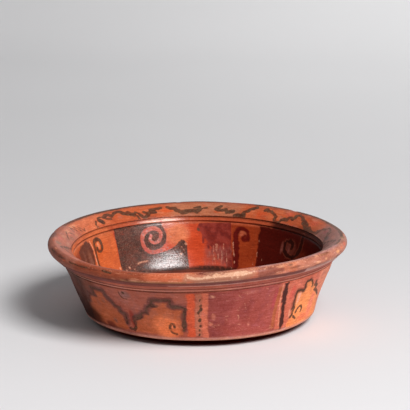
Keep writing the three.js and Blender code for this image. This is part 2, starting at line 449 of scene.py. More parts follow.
def lay(where, share, colour):
    """Lays a colour over part of the ground, as thickly as share says."""
    share = share[..., None]
    ground[where] = ground[where] * (1 - share) + linear(colour) * share


def tint(canvas, low, high, bottom, top, colour, soft, strength=1.0):
    """A block of colour with a soft edge."""
    where, share = canvas.zone(low, high, bottom, top, soft)
    lay(where, share * strength, colour)


def smudge(canvas, angle, level, wide, tall, colour, strength=1.0):
    """A soft round patch of another colour; wide and tall are its half sizes in millimetres."""
    where, share = canvas.around(angle, level, wide, tall)
    lay(where, share * strength, colour)


def spread(where, distance, colour, low, high, strength=1.0):
    """Colour over a shape. Its slightly ragged edge comes in between these two distances from the outline."""
    lay(where, soft_step(low, high, distance + RAGGED[where]) * strength, colour)


def patch(canvas, points, colour, soft=0.5):
    spread(*canvas.polygon(points), colour, -soft, soft)


def wash(canvas, points, widths, colour, soft=0.4):
    spread(*canvas.brush(*curve(points, widths)), colour, -soft, soft)


along = ROWS[:, None] * np.ones((1, SECTORS))
EVERYWHERE = np.s_[:, :]


def near(place, half):
    """1 at a place along the surface, fading within about this many millimetres to both sides."""
    return np.exp(-((along - place) / half) ** 2)


def facing(angle, half):
    """1 at an angle round the bowl, fading within about this many degrees to both sides."""
    return np.exp(-(away(angle) / half) ** 2)[None, :]


def ring(at, half, colour, strength):
    """A soft band of colour all the way round, at a place along the surface."""
    lay(EVERYWHERE, strength * near(at, half), colour)


mottle = np.random.default_rng(29)  # draws for small mottling only


def each(mark, *same, rows):
    """The same kind of mark, once for each row of what differs."""
    for row in rows:
        mark(*same, *row)


def specks(draw, count, canvas, angles, levels, wides, talls, strengths, colours):
    """Small soft spots of these colours, each measure drawn between its two limits."""
    for _ in range(count):
        smudge(canvas, draw.uniform(*angles), draw.uniform(*levels), draw.uniform(*wides), draw.uniform(*talls),
               colours[draw.integers(len(colours))], draw.uniform(*strengths))


def dots(draw, count, canvas, layer, angles, levels, widths):
    """Round dots of paint, each measure drawn between its two limits."""
    for _ in range(count):
        stroke(canvas, layer, [(draw.uniform(*angles), draw.uniform(*levels))] * 2, draw.uniform(*widths))


# ---- Ground colours ----
# A row of tint: from and to angle, bottom and top level, colour, soft edge, strength.
# A row of smudge: angle, level, half width, half height, colour, strength.
# Painted shade: the underside between the foot and the basal edge is made dark brown for the shadow beneath the
# bowl.
lay(EVERYWHERE, 1 - soft_step(BASAL_LENGTH - 2.5, BASAL_LENGTH - 0.5, along), (92, 44, 34))
lay(EVERYWHERE, 1 - soft_step(FOOT_RADIUS - 3, FOOT_RADIUS + 5, along), (150, 88, 66))
each(tint, OUTER, rows=(
    # On the next line, the two darker tints at the far left are partly stain, partly painted shade on the side
    # turned from the light.
    (-180, 180, 0, 60, ROSY, 1), (-190, -133, 0, 44, (134, 70, 50), 12), (-176, -150, 0, 44, (84, 50, 38), 10),
    (-134, -100, 31, 41, (192, 104, 82), 8, 0.8), (-53, -10, 0, 41, (217, 114, 88), 2),
    (-180, 180, 0, 6.2, (178, 98, 80), 0.8),
))
each(tint, FLANGE, rows=(
    (-180, 180, 80, 110, ORANGE, 1), (138, 158, 80, 110, (206, 110, 72), 8, 0.9),
    (164, 215, 80, 110, (186, 108, 84), 9, 0.9), (72, 100, 80, 110, (180, 112, 80), 10, 0.85),
    (-34, 14, 80, 110, (146, 98, 86), 9, 0.9), (-100, -34, 80, 110, (170, 92, 70), 8, 0.7),
))
each(tint, INNER, rows=(
    (137, 157, 9.6, 46, (206, 98, 50), 2), (88, 108, 12, 46, (204, 74, 36), 4),
    # Painted shade: on the next line, 57 to 72.6 is the orange panel darkened where the inside faces away from
    # the light.
    (57, 72.6, 9.6, 46, (156, 60, 26), 1), (5, 42, 9.6, 46, BROWN, 3), (172, 200, 9.6, 46, (150, 66, 42), 4),
    (95.9, 110, 36, 44.4, (214, 98, 62), 4, 0.7), (-180, 180, 43.6, 52, (184, 86, 52), 0.8),
    # Painted shade: the second tint on the next line darkens the ridge on the right of the inside, which faces
    # away from the light.
    (140, 215, 43.6, 52, (204, 104, 60), 5, 0.9), (-30, 48, 43.6, 52, (70, 28, 18), 8, 0.95),
))
lay(EVERYWHERE, 0.85 * near(BREAK_LENGTH - 0.5, 0.6) * facing(14, 28), (196, 132, 112))
# Painted highlight: a pale pink strip on the ridge at 109 degrees stands for the glare of the light there.
smudge(INNER, 109, 46.6, 15, 1.5, (238, 176, 150), 0.9)
tint(INNER, -180, 180, 9.9, 12.0, (84, 44, 31), 0.8, 0.9)

# ---- Outside wall ----
PYRAMID = [
    (-120.6, 8), (-120.4, 17), (-118.5, 19.6), (-116.2, 21.4), (-115.2, 23.4), (-113.2, 24.2), (-112.5, 26.8),
    (-111.7, 29), (-110.2, 30), (-109.8, 32.6), (-109.4, 34.6), (-106.9, 35), (-101.7, 35), (-101.5, 31.4),
    (-100.5, 29.8), (-97.2, 30), (-95.2, 28.8), (-95.9, 24.6), (-96.2, 18), (-96.8, 12), (-97.2, 8)]
LEFT_PYRAMID = [
    (-125, 8), (-124.6, 13), (-123.9, 17.4), (-124.2, 20.4), (-126.2, 22.2), (-126.4, 25), (-128.6, 26.2),
    (-129.4, 28.4), (-131.2, 30.4), (-132.5, 33.2), (-132.9, 36.6), (-140, 36), (-140.4, 31), (-145.5, 29.6),
    (-146.4, 24), (-149, 22), (-151, 8)]
RIGHT_PYRAMID = [
    (-46.2, 4), (-43.2, 13), (-43.2, 19), (-42.6, 21.4), (-42.9, 24), (-42.8, 27), (-43.2, 30), (-43, 32),
    (-41, 32), (-38.4, 30.8), (-37.9, 32.4), (-38.5, 35.2), (-38.2, 37.3), (-35.4, 37.7), (-33.6, 36.6),
    (-32.1, 33.2), (-30, 32.4), (-27, 29), (-24.6, 26.6), (-23.6, 22.6), (-19.4, 21.2), (-18.4, 15.4),
    (-15.4, 14.4), (-15, 4)]
RIGHT_STEPS = RIGHT_PYRAMID[2:14]  # the part of it that has a dark line
HOOK = [(-100.9, 14.2), (-101.2, 16.3), (-102.4, 16.2), (-103, 14), (-102.8, 11.8), (-102, 9.8), (-100.4, 8.8)]
ARCH = [(-39.8, 15.2), (-39, 17.8), (-37.8, 19.1), (-36.5, 19), (-35.5, 17), (-35.7, 14.7)]


def stepped_panel(first, last):
    """Two stepped pyramids side by side with a hook in each, as on the left of the photograph."""
    squeeze = (last - first) / 54.0
    for shape in (LEFT_PYRAMID, PYRAMID):
        line = shifted(shape, first + 150, squeeze, -150)
        patch(OUTER, line, (204, 104, 64))
        spread(*OUTER.brush(line[1:-1], 4.8), (116, 62, 56), -1.0, 0.8, 0.85)  # worn paint beside the line
        dabs(OUTER, "line", line[1:-1], 1.8)
    stroke(OUTER, "line", shifted(HOOK, first + 150, squeeze, -150), 1.9, curved=True)


def stripes(first, last):
    """Two orange stripes with a row of short dark marks between them."""
    wide = last - first
    for low, high, colour in (
            (0.02, 0.42, (204, 86, 54)), (0.42, 0.68, (188, 104, 80)), (0.7, 0.98, (208, 106, 78))):
        left, right = first + wide * low, first + wide * high
        patch(OUTER, [(left, 7), (left, 40), (right, 40), (right, 7)], colour)
    middle = first + wide * 0.58
    for z in np.arange(9.5, 38, 3.5):
        lean = rng.uniform(-0.5, 0.5)
        stroke(OUTER, "line", [(middle + lean, z), (middle + rng.uniform(-0.4, 0.4), z + rng.uniform(1, 2.2))],
               rng.uniform(0.9, 1.9))


def bar(angle):
    """A dark upright bar with a pale line beside it."""
    outline = [
        (-52.3, 40.4), (-52.1, 35.1), (-51.4, 27.5), (-50.4, 19.8), (-49.8, 12.2), (-49.7, 7.6), (-49.5, 5.6),
        (-48.1, 5.4), (-47.7, 7.9), (-47.2, 11.4), (-47.9, 19.1), (-48.9, 26.7), (-49.9, 34.4), (-50.1, 40.6)]
    beside = [(-53, 39.6), (-52.9, 34), (-52.3, 27.6), (-51.3, 20), (-50.5, 12.4), (-50.4, 9)]
    patch(OUTER, shifted(outline, angle + 51, 1, -51), (80, 40, 34), 0.3)
    stroke(OUTER, "pale", shifted(beside, angle + 51, 1, -51), 0.9)


def maroon_panel(first, last):
    patch(OUTER, [(first, 6.4), (first + 0.3, 20), (first - 0.1, 40.6), (last - 1.6, 40.6), (last - 1.4, 28),
                  (last - 0.6, 20), (last + 0.8, 11), (last + 1.4, 6.4)], PANEL)
    tint(OUTER, last - 20, last - 4, 6.4, 40.6, (180, 86, 76), 10, 0.8)
    each(smudge, OUTER, rows=(
        (lerp(first, last, 0.3), 12, 6, 4, (170, 78, 68), 0.8),
        (lerp(first, last, 0.25), 31, 7, 6, (148, 64, 58), 0.7),
        (lerp(first, last, 0.5), 24, 5, 8, (144, 62, 56), 0.6),
    ))


stepped_panel(-150, -96)
each(smudge, OUTER, rows=(
    (-120.6, 18, 2.0, 8, (160, 56, 40)), (-104, 14, 10, 11, (255, 136, 82), 0.95),
    (-136, 9, 5, 3, (120, 46, 32), 0.8), (-151, 24, 6, 12, (84, 36, 22), 0.8),
    (-135.3, 27.5, 2, 2, (170, 100, 76), 0.7),
))
each(dabs, OUTER, "line", rows=(
    ([(-141.5, 36.4), (-139.4, 35.6)], 2.4), ([(-145.6, 31.5), (-145.2, 28)], 2.0),
    ([(-141, 30.2), (-139.2, 29.6)], 2.0), ([(-119.9, 15.6), (-120.1, 11.2), (-121.6, 8.8), (-123.6, 9)], 2.3),
    ([(-119.5, 18.6), (-115.6, 20.6)], 3.4), ([(-112.9, 25), (-112.3, 23.6)], 2.8),
    ([(-110.6, 30.2), (-107.8, 30.2)], 3.2), ([(-100.8, 30.2), (-98.8, 30.2)], 3.6),
    ([(-96.3, 19), (-96.4, 15.6)], 3.2),
))
maroon_panel(-86, -53.6)
tint(OUTER, -84, -58, 33, 40.4, (172, 84, 76), 2, 0.5)
smudge(OUTER, -55.6, 30, 2, 9, (184, 72, 76), 0.7)
tint(OUTER, -54.6, -53.2, 8, 38, (184, 96, 62), 0.8)
tint(OUTER, -26, -12, 6, 40, (240, 152, 116), 5, 0.6)
bar(-51)
for angle, z, wide, tall in (
        (-89, 30.4, 1.7, 1), (-88.9, 27.6, 2.0, 1.2), (-89.9, 25.4, 1.9, 0.8), (-89.5, 19.2, 2.1, 1.3),
        (-89.3, 14.8, 1.8, 0.8), (-89.9, 11.2, 1.3, 1.2), (-90.1, 7.8, 1.3, 1.2), (-89.4, 34.6, 0.9, 1.6),
        (-89.6, 23, 0.8, 1)):
    stroke(OUTER, "line", [(angle, z), (angle + 0.2, z + tall)], wide)
each(patch, OUTER, rows=(
    ([(-95.4, 7), (-94.4, 40), (-91, 40), (-91.6, 7)], (226, 94, 58)),
    ([(-91.6, 7), (-91, 40), (-88.4, 40), (-88.8, 7)], (200, 116, 88)),
    ([(-88.8, 6.4), (-88.2, 40.2), (-86.1, 40.2), (-86.2, 6.4)], (224, 118, 88)),
    (RIGHT_PYRAMID, (252, 150, 90)),
))
each(smudge, OUTER, rows=(
    (-27, 16, 5, 12, (248, 134, 100), 0.9), (-33, 10, 7, 3, (240, 120, 82), 0.8),
    (-40.4, 26.5, 1.6, 5, (250, 176, 146), 0.9), (-46, 32, 2.4, 6, (216, 92, 74), 0.9),
))
spread(*OUTER.brush(RIGHT_STEPS, 3.2), (132, 66, 52), -0.8, 0.6, 0.85)
each(dabs, OUTER, "line", rows=(
    (RIGHT_STEPS, 1.7, 2.6), ([(-41.6, 19.4), (-42.2, 17), (-42.3, 14.4), (-43.3, 12.7)], 2.1),
    ([(-41.1, 12.7), (-39.1, 10.8)], 1.7), ([(-33.9, 36.4), (-32.3, 33.4), (-32, 31.2)], 2.2),
    ([(-29.6, 34.4), (-29.8, 32.2), (-26.4, 30), (-28, 28), (-24.4, 25.6), (-20, 21.4)], 2.4),
))
stroke(OUTER, "line", ARCH, 1.9, curved=True)

# The hidden part of the outside goes on in the same way.
stripes(-10, -2)
maroon_panel(-2, 30)
bar(31.6)
stepped_panel(35, 83)
stripes(83.4, 91.4)
maroon_panel(91.4, 120.6)
bar(122.2)
stepped_panel(126, 170)
stripes(170.4, 178.4)
# Darker round the far left edge: partly stain, partly painted shade on the side turned from the light.
tint(OUTER, 172, 202, 5, 44, (104, 50, 34), 14)

# The stain with painted shade at the far left, the ring-shaped mark and the pit on the left, and worn spots in
# and beside the maroon panel.
each(smudge, OUTER, rows=(
    (-160, 15, 22, 15, STAIN_AND_SHADE, 0.95), (-150, 11, 14, 8, STAIN_AND_SHADE, 0.8),
    (-121.2, 36.8, 4.4, 3.4, (152, 98, 88), 0.9), (-131.6, 13.2, 2.2, 2.2, (176, 112, 88), 0.8),
    (-84.3, 37.4, 2.2, 1.2, (206, 128, 108), 0.9), (-83.4, 22, 1.6, 3, (198, 112, 90), 0.8),
    (-84.6, 16.4, 1.8, 1.4, (214, 122, 96), 0.9), (-67.1, 14.4, 1.0, 2.2, (206, 116, 104), 0.8),
    (-68, 38.6, 6, 1.5, (196, 108, 96), 0.8),
))
stroke(OUTER, "line", [(-122, 38.4), (-121.7, 38.2)], 2.0)
stroke(OUTER, "line", [(-124, 39.3), (-123.9, 36), (-122.6, 33.6), (-120.9, 33.3)], 1.0, curved=True)
each(stroke, OUTER, "pale", rows=(
    ([(-44.4, 18.2), (-44.3, 14.2)], 1.7), ([(-41.6, 29.6), (-41.4, 26)], 0.8),
    ([(-84.6, 38.4), (-83.8, 37.2)], 1.0),
))
for _ in range(46):  # bent hairs of pale clay in the maroon panel
    angle, z = rng.uniform(-86, -54), rng.uniform(8, 40)
    turn, long = rng.uniform(0, math.pi), rng.uniform(0.6, 3.4)
    bow = rng.uniform(-0.5, 0.5)
    end = (angle + long * math.cos(turn) / OUTER.per_degree, z + long * math.sin(turn))
    middle = ((angle + end[0]) / 2 + bow, (z + end[1]) / 2)
    stroke(OUTER, "pale", [(angle, z), middle, end], rng.uniform(0.05, 0.3), curved=True)

# ---- Inside wall ----
TAIL = 11.6  # lowest height of the panels


def spiral_wave(by=0.0, squeeze=1.0):
    """A dark panel that rises to a crest on its left and is entered by a spiral of the red ground."""
    def moved(points):
        return shifted(points, by, squeeze, 96.8)
    fill(INNER, "black", moved([
        (95.9, TAIL), (95.9, 45.4), (134.8, 45.4), (135.7, 40.2), (136.1, 34), (136.1, 26.5), (136.8, 21),
        (137.6, TAIL)]))
    clear(INNER, "black", moved([
        (92, 50), (108.8, 50), (108, 43), (106.6, 38), (106.6, 34.4), (107.4, 30.6), (109.4, 27.6), (112.2, 26),
        (114, 25.4), (117, 23.4), (112.3, 23.8), (107.6, 24.8), (104.2, 26.3), (101.6, 28.5), (100.4, 30.9),
        (99, 32), (97.5, 31.6), (96.4, 30), (95.9, 27.6), (92, 27)]))
    clear(INNER, "black", moved([
        (109.6, 25.6), (113, 24.8), (116.2, 25.1), (118.4, 27.2), (119.9, 30.6), (120.1, 34.6), (119, 38),
        (116.8, 40.4), (113.6, 41.6), (110.8, 40.6),
        (109.3, 38.2)]), [3.2, 3.0, 3.0, 3.0, 3.0, 3.2, 3.2, 3.2, 3.4, 3.2, 2.6])
    clear(INNER, "black", moved([
        (109.4, 38.2), (109.8, 34.8), (111.2, 32), (113.8, 31.4), (115.6, 34),
        (114.8, 36.8)]), [2.6, 2.5, 2.5, 2.4, 2.4, 2.2])


LEFT_STEM = [
    (154.2, 20), (153.8, 25.2), (153.5, 28.8), (153.4, 33.2), (153.1, 37.3), (152.4, 40.1), (150.9, 41.6),
    (148.8, 42), (147.2, 40.8), (146.9, 38.3), (147.2, 35.2), (148.5, 33.7), (150.2, 33.8), (151.2, 35),
    (151.1, 36.3)]
LEFT_STEM_WIDTHS = [2.6, 2.4, 2.2, 2.2, 2.4, 3.0, 3.4, 3.2, 2.8, 2.8, 2.6, 2.4, 2.4, 2.6, 2.6]
RIGHT_STEM = [
    (68.6, 13), (69, 19.7), (69.5, 26.5), (70, 32.1), (70.3, 35.9), (69.9, 38.4), (68.5, 40.2), (66.5, 40.8),
    (64.8, 39.8), (63.8, 37.6), (63.8, 35.1), (64.7, 33.4), (66.1, 33.6), (66.4, 35), (65.7, 36)]
RIGHT_STEM_WIDTHS = [5.0, 4.8, 4.6, 4.2, 3.8, 3.8, 4.0, 3.8, 3.6, 3.4, 3.4, 3.4, 3.2, 3.0, 2.8]
SPIRAL = [
    (27.9, 44.6), (27.7, 42), (27.8, 38), (28.4, 33.5), (30.2, 29.8), (33.8, 27.8), (37.6, 28.9), (40, 31.8),
    (40.5, 35.3), (39, 38.2), (36.4, 38.6), (34.8, 36.3), (35.3, 33.5)]
SPIRAL_WIDTHS = [3.6, 3.8, 3.8, 3.6, 3.4, 3.2, 3.0, 2.6, 2.6, 2.8, 3.2, 3.4, 3.0]

spiral_wave()
smudge(INNER, 113.6, 34, 12, 10, (206, 112, 94), 0.9)
smudge(INNER, 101, 36, 9, 9, (224, 126, 80), 0.85)
RING_SPECKS = ((232, 160, 150), (150, 100, 92), (214, 96, 84), (176, 132, 120))
for _ in range(90):
    smudge(INNER, 113.6 + mottle.normal(0, 4.2), 34 + mottle.normal(0, 5), mottle.uniform(0.4, 1.1),
           mottle.uniform(0.4, 1.1), RING_SPECKS[mottle.integers(4)], mottle.uniform(0.5, 0.95))
for _ in range(26):
    spot = (113.6 + mottle.normal(0, 2.4), 35 + mottle.normal(0, 3.2))
    stroke(INNER, "pale", [spot, spot], mottle.uniform(0.2, 0.6))
fill(INNER, "maroon", [
    (73.2, 44.6), (89.2, 43.4), (90.4, 40.4), (90.2, 38.6), (88.6, 37), (87.9, 33.8), (85.8, 32), (84.2, 28),
    (82.6, 26), (81.2, 23.4), (79.4, 20.2), (77.4, 18), (75, 15.8), (73.6, 12.4), (70.4, 12.4), (71.6, 23),
    (72.8, 32)])
each(stroke, INNER, "maroon", rows=(
    ([(87.6, 34), (87.3, 29.8)], 1.7), ([(84.9, 29), (84.5, 25.6)], 1.7), ([(82.6, 25), (82.6, 22)], 1.6),
    ([(79.6, 21), (79.3, 18.2)], 1.3), ([(76.3, 17), (76.2, 14.8)], 1.3),
))
for _ in range(9):
    angle, level = mottle.uniform(72, 87), mottle.uniform(14, 27)
    high = level + mottle.uniform(1, 7)
    stroke(INNER, "pale", [(angle, level), (angle + 0.2, high)], mottle.uniform(0.06, 0.26))
for points, wide in (
        ([(81.9, 27.6), (81.8, 23.8)], 0.9), ([(80.8, 29), (80.5, 24.6)], 0.8),
        ([(76.6, 27.2), (76.4, 25.8)], 1.7), ([(77.4, 24.4), (77, 17.6)], 0.9),
        ([(74.7, 22.8), (74.3, 17)], 0.8), ([(79.2, 22), (79.1, 18)], 0.6),
        ([(71.6, 31), (71, 26.4), (70.3, 21)], 1.1), ([(69.9, 17.6), (69.8, 16.4)], 1.5),
        ([(71.1, 13.2), (70.9, 12.6)], 1.4), ([(53.5, 21.8), (53.5, 20.6)], 1.0),
        ([(57.1, 34.2), (57, 33.2)], 0.9), ([(57, 26), (56.9, 23)], 0.9), ([(58.7, 17.8), (58.5, 16.8)], 1.1),
        ([(59.8, 22), (60.2, 21.7)], 1.1)):
    stroke(INNER, "pale", points, wide * 0.45)
stroke(INNER, "line", [(89.9, 39.4), (89.8, 38.8)], 1.8)
stroke(INNER, "line", LEFT_STEM, LEFT_STEM_WIDTHS, curved=True)
# Painted shade: the panels of the inside right, which face away from the light, are coloured much darker than
# their paint.
patch(INNER, [(5, TAIL), (5, 44.6), (57.3, 44.2), (57.5, 34), (56.9, 24), (56.2, TAIL)], (80, 15, 6))
each(smudge, INNER, rows=(
    # Painted highlight: the pale pink patch at 107 degrees, just below the inner lines, stands for glare.
    (116.8, 29, 5, 4, (196, 88, 72), 0.6), (107, 42.6, 8, 2.2, (216, 128, 104), 0.8),
    (81, 21, 6.5, 4.5, (138, 66, 48), 0.4), (35.4, 34, 5.4, 6.5, (112, 56, 44), 0.9),
    (66.6, 37.4, 3.4, 3, (190, 98, 66), 0.8), (149.6, 37.8, 1.5, 2.6, (222, 132, 92), 0.9),
    (24, 26, 9, 10, (120, 44, 22), 0.8),
))
wash(INNER, RIGHT_STEM, RIGHT_STEM_WIDTHS, (98, 18, 10), 0.6)
wash(INNER, SPIRAL, [w + 1.2 for w in SPIRAL_WIDTHS], (130, 62, 44))
wash(INNER, SPIRAL, SPIRAL_WIDTHS, (50, 14, 8))
patch(INNER, [
    (158, 44.4), (156, 42.2), (155.6, 36), (156.2, 27), (156.4, 20), (158, TAIL), (173, TAIL), (173, 36),
    (171.6, 40.2), (164, 43.4)], (104, 58, 44))
each(smudge, INNER, rows=(
    (42.1, 32.4, 1.3, 5, (134, 74, 62), 0.9), (36.8, 31.6, 1.2, 1.6, (130, 72, 62), 0.9),
    (160, 30, 3, 9, (146, 92, 70), 0.6), (166, 34, 2, 6, (138, 86, 66), 0.5),
))
stroke(INNER, "pale", [(155.3, 42.6), (154.9, 37.3), (154.7, 31.8), (154.9, 26.4), (155, 20)], 1.0)
stroke(INNER, "pale", [(125.4, 18.4), (123.3, 19), (119, 19.3)], 1.0)
for angle, level, wide in (
        (138, 17.8, 1.5), (131.4, 16.8, 1.4), (96.3, 28.8, 1.8), (99.3, 21.9, 1.3), (117, 27.6, 0.9),
        (134, 15.6, 0.9), (128.6, 15.2, 0.8), (97.6, 24.6, 0.7), (98.6, 26.8, 0.6)):
    stroke(INNER, "pale", [(angle, level), (angle + 0.3, level + 0.3)], wide)
dots(mottle, 22, INNER, "pale", (62, 136), (11.8, 14.6), (0.2, 0.8))

# The hidden part of the inside: two more of each panel.
for by in (78, 172):
    spiral_wave(by, 1.04)
    fill(INNER, "maroon", [(119 + by, TAIL), (118 + by, 44.4), (134 + by, 44.2), (135 + by, TAIL)])
    stroke(INNER, "line", shifted(LEFT_STEM, by + 4, 1.05), LEFT_STEM_WIDTHS, curved=True)

# ---- Flange ----
RIM_LINES = (
    ([(137.3, 94.1), (135.2, 95.7), (133.6, 95.6), (132.9, 94.2), (131.7, 94.6), (129.6, 96.4),
      (128, 96.8)], 2.5),
    ([(128, 96.8), (126.7, 95.8), (126, 94.3), (124.2, 93.3)], 3.0), ([(136.6, 92.6), (133.9, 91.8)], 1.6),
    ([(123.2, 94.4), (122.4, 92.8), (120.8, 92)], 2.7),
    ([(119.5, 93.7), (118.4, 92.2), (117.6, 90.4), (116.4, 88.4)], 2.0), ([(119.4, 90.4), (119.2, 88.6)], 1.5),
    ([(115.6, 92.8), (113.8, 91.4), (112, 92.2), (110, 91.8)], 2.4), ([(115.8, 89.4), (114, 90.5)], 2.2),
    ([(111.8, 93.6), (109.7, 94.5), (106.8, 95.3)], 2.6),
    ([(103.7, 95.4), (102.4, 94.2), (100.5, 94.3), (99.9, 92.4), (98.8, 91.7), (97.3, 90.8),
      (95.6, 90.8)], 2.5),
    ([(95.1, 91.2), (93.4, 91.6), (92, 91.8), (90.1, 91.4), (88.9, 92.1)], 3.0),
    ([(91.4, 93.8), (88.8, 94.4)], 1.9), ([(87.9, 93.2), (85.6, 93.8)], 1.4),
    ([(81.1, 92.9), (80.1, 94.3), (78.8, 95.9)], 2.2),
    ([(80.3, 92.1), (78.2, 92.3), (76.5, 92.9), (75.6, 91.1), (74.3, 91.5), (72.6, 92)], 2.4),
    ([(71.7, 88.9), (70, 89.3), (67.2, 89), (67.4, 90.4)], 3.4),
    ([(67.4, 90.4), (67.4, 92.2), (66.3, 92.7), (65.4, 93.3), (64.8, 94.9), (63.5, 95.7), (62.4, 97)], 2.7),
    ([(57.5, 95.4), (56.8, 97), (55.6, 95.2), (54.3, 95.4), (52.8, 94.2), (51.2, 92.8), (50, 91.7),
      (50.3, 90.1), (49.4, 88.6), (47.8, 88.3), (46.5, 88.7), (46.2, 90.3)], 2.1),
    ([(46.2, 90.3), (45.2, 91), (43.2, 91.2), (42.9, 92.9), (41.8, 93.5), (39.9, 92.4), (39.5, 94),
      (39.9, 96.2), (38.5, 97.3), (36.6, 96.6), (34.4, 94.6), (32, 92.7)], 2.3),
    ([(32.4, 93), (29.6, 91.3), (27.4, 89.4), (25, 87.8)], 3.6),
    ([(26.4, 91), (24.2, 89.6), (20.6, 88.6)], 1.7),
    ([(20.4, 89.4), (17.1, 89.7), (16.4, 91.5), (15.7, 93.4), (13.6, 95.2)], 1.7),
    ([(6.2, 93.1), (7.2, 95.6)], 1.5),
    ([(163.8, 92.2), (162.9, 96.6), (160.8, 91.4), (160, 95.8), (157.8, 90.6), (157.3, 94.4),
      (155.2, 89.8), (153.8, 91.2)], 0.8),
    ([(168, 93.4), (166.2, 91)], 0.9), ([(168.9, 95.7), (172.6, 93.6), (175.6, 91.3)], 1.0),
)
STEPS = [
    (0, 88.8), (3, 89.2), (3.4, 91), (6, 91.4), (6.2, 93.4), (8.6, 93.8), (9, 96), (11, 97), (13.2, 96.8),
    (13.4, 94.6), (16, 94), (16.3, 92), (18.6, 91.6), (19, 89.6), (22, 88.8)]
for points, wide in RIM_LINES:
    dabs(FLANGE, "line", points, wide * 1.25)
for start in range(184, 366, 22):
    points = [(start + a + rng.uniform(-0.3, 0.3), r + rng.uniform(-0.3, 0.3)) for a, r in STEPS]
    dabs(FLANGE, "line", points, 2.1)
each(stroke, FLANGE, "line", rows=(
    ([(140.9, 92.8), (139.8, 91.2)], 4.4), ([(140.9, 94.8), (139.2, 95.4), (137.4, 94.6)], 1.5),
    ([(143.1, 93), (144.9, 90.6)], 1.5),
))
each(smudge, FLANGE, rows=(
    (140.4, 92, 2.4, 2.2, (96, 84, 86), 0.9), (144.6, 88.8, 1.8, 1.8, (128, 76, 54), 0.9),
    (69, 89.4, 4.5, 1.6, (72, 36, 26), 0.8), (58, 91.6, 5, 3, (204, 84, 46), 0.8),
    (104, 92.6, 6, 2, (208, 84, 40), 0.8), (44, 96, 4, 3, (206, 92, 66), 0.7),
    (26, 95, 5, 3.5, (196, 88, 60), 0.9), (30, 88.6, 8, 2.4, (156, 64, 26), 0.8),
    (50, 87.6, 14, 1.6, (170, 70, 34), 0.7), (189, 97.8, 5, 2.4, (150, 112, 88), 0.85),
    (192, 93, 5, 3, (146, 104, 84), 0.85), (176, 92, 3, 3, (166, 100, 78), 0.85),
    (3, 91.6, 5, 2, (104, 86, 84), 0.85), (-9, 91, 4, 2, (110, 80, 74), 0.85),
    (11, 93.4, 4, 2, (150, 76, 72), 0.85), (180, 96.6, 4, 3, (196, 104, 88), 0.85),
    (-2, 95.6, 5, 2, (176, 108, 88), 0.85), (160, 96.4, 6, 1.6, (220, 150, 110), 0.7),
    (168, 95.4, 4, 2, (214, 146, 112), 0.7), (176, 95, 3, 2, (206, 140, 110), 0.7),
    (172, 90.4, 4, 1.8, (150, 98, 76), 0.7), (182, 90.8, 4, 2, (186, 124, 98), 0.7),
    (165, 90, 3, 1.6, (196, 120, 84), 0.7),
))
specks(mottle, 70, FLANGE, (14, 164), (86, 98), (1, 5), (0.6, 2), (0.25, 0.6),
       ((214, 122, 84), (154, 82, 58), (196, 124, 98), (206, 84, 44)))

# ---- Lip ----
each(tint, LIP, rows=(
    (-180, 180, -40, -9.2, (146, 88, 76), 1.2), (-180, 180, -9.2, -0.5, (184, 100, 76), 1.6),
    (-179, -126, -9.4, -0.6, (154, 88, 68), 1.6, 0.9), (-140, -92, -8.2, -0.4, (160, 80, 54), 6),
    (-106, -93.4, -8.2, -0.4, (212, 112, 76), 10),
))
smudge(LIP, -81, -6.6, 22, 2.4, (158, 98, 76), 0.9)
smudge(LIP, -82, -8.9, 20, 1.6, (200, 144, 118), 0.85)
each(tint, LIP, rows=(
    (-67, -30, -9, -0.8, (146, 82, 66), 2.0), (-118, -94, -9.2, -7.8, (176, 122, 82), 1.2, 0.7),
    (-56, -48, -8, -1.6, (204, 122, 88), 2.4, 0.8),
))
smudge(LIP, -54, -8.4, 13, 1.8, (222, 136, 106), 0.9)
each(tint, LIP, rows=(
    (-30, 12, -9, 0, (160, 106, 88), 3.0), (12, 180, -9, 1, (156, 82, 60), 3.0),
    (-50, -14, -8.8, -3.0, (190, 120, 96), 1.6, 0.75), (-180, 180, -13.5, -9.2, (128, 68, 62), 1.0, 0.85),
    (-100, -10, -18.2, -13.2, (224, 158, 138), 1.6, 0.85), (-45, 0, -13.6, -9.4, (214, 158, 142), 1.4, 0.9),
    (-62, -6, -24, -17, (204, 134, 116), 2, 0.6),
))
each(smudge, LIP, rows=(
    (-99, -15.6, 8, 3, (146, 86, 74), 0.8), (-113, -16, 14, 1.4, (186, 120, 104), 0.6),
    (-84, -1.6, 12, 2.2, (112, 50, 42), 1.0),
))
tint(LIP, -66, -20, -1.4, 1.2, (176, 122, 112), 0.9, 0.8)
specks(rng, 34, LIP, (-66, 4), (-8.5, 1), (0.8, 4), (0.4, 1.1), (0.4, 0.9),
       ((126, 78, 60), (224, 156, 118), (206, 112, 78)))
specks(rng, 26, LIP, (-176, -94), (-8.5, 1), (0.8, 4), (0.4, 1.0), (0.4, 0.8),
       ((104, 56, 44), (206, 128, 96), (196, 92, 58)))
CREAM = [
    (-93.6, -3.6), (-90, -4.6), (-88.2, -4.9), (-86, -3.5), (-84.7, -4.4), (-83, -1.7), (-81.6, -3),
    (-80.9, -4), (-79.6, -2.8), (-77, -2.1), (-74.2, -1.9), (-72, -2.4), (-69.8, -3.7), (-69.6, -4.6),
    (-71.4, -5.0), (-73.4, -5.6), (-76.6, -5.2), (-80.2, -5.4), (-82.8, -5.2), (-86, -5.9), (-89.9, -6.4),
    (-93.4, -5.3)]
fill(LIP, "cream", [(angle, level + 0.3 - 0.028 * (angle + 94)) for angle, level in CREAM])
dots(mottle, 16, LIP, "cream", (-95, -66), (-6.4, -2.2), (0.5, 1.3))
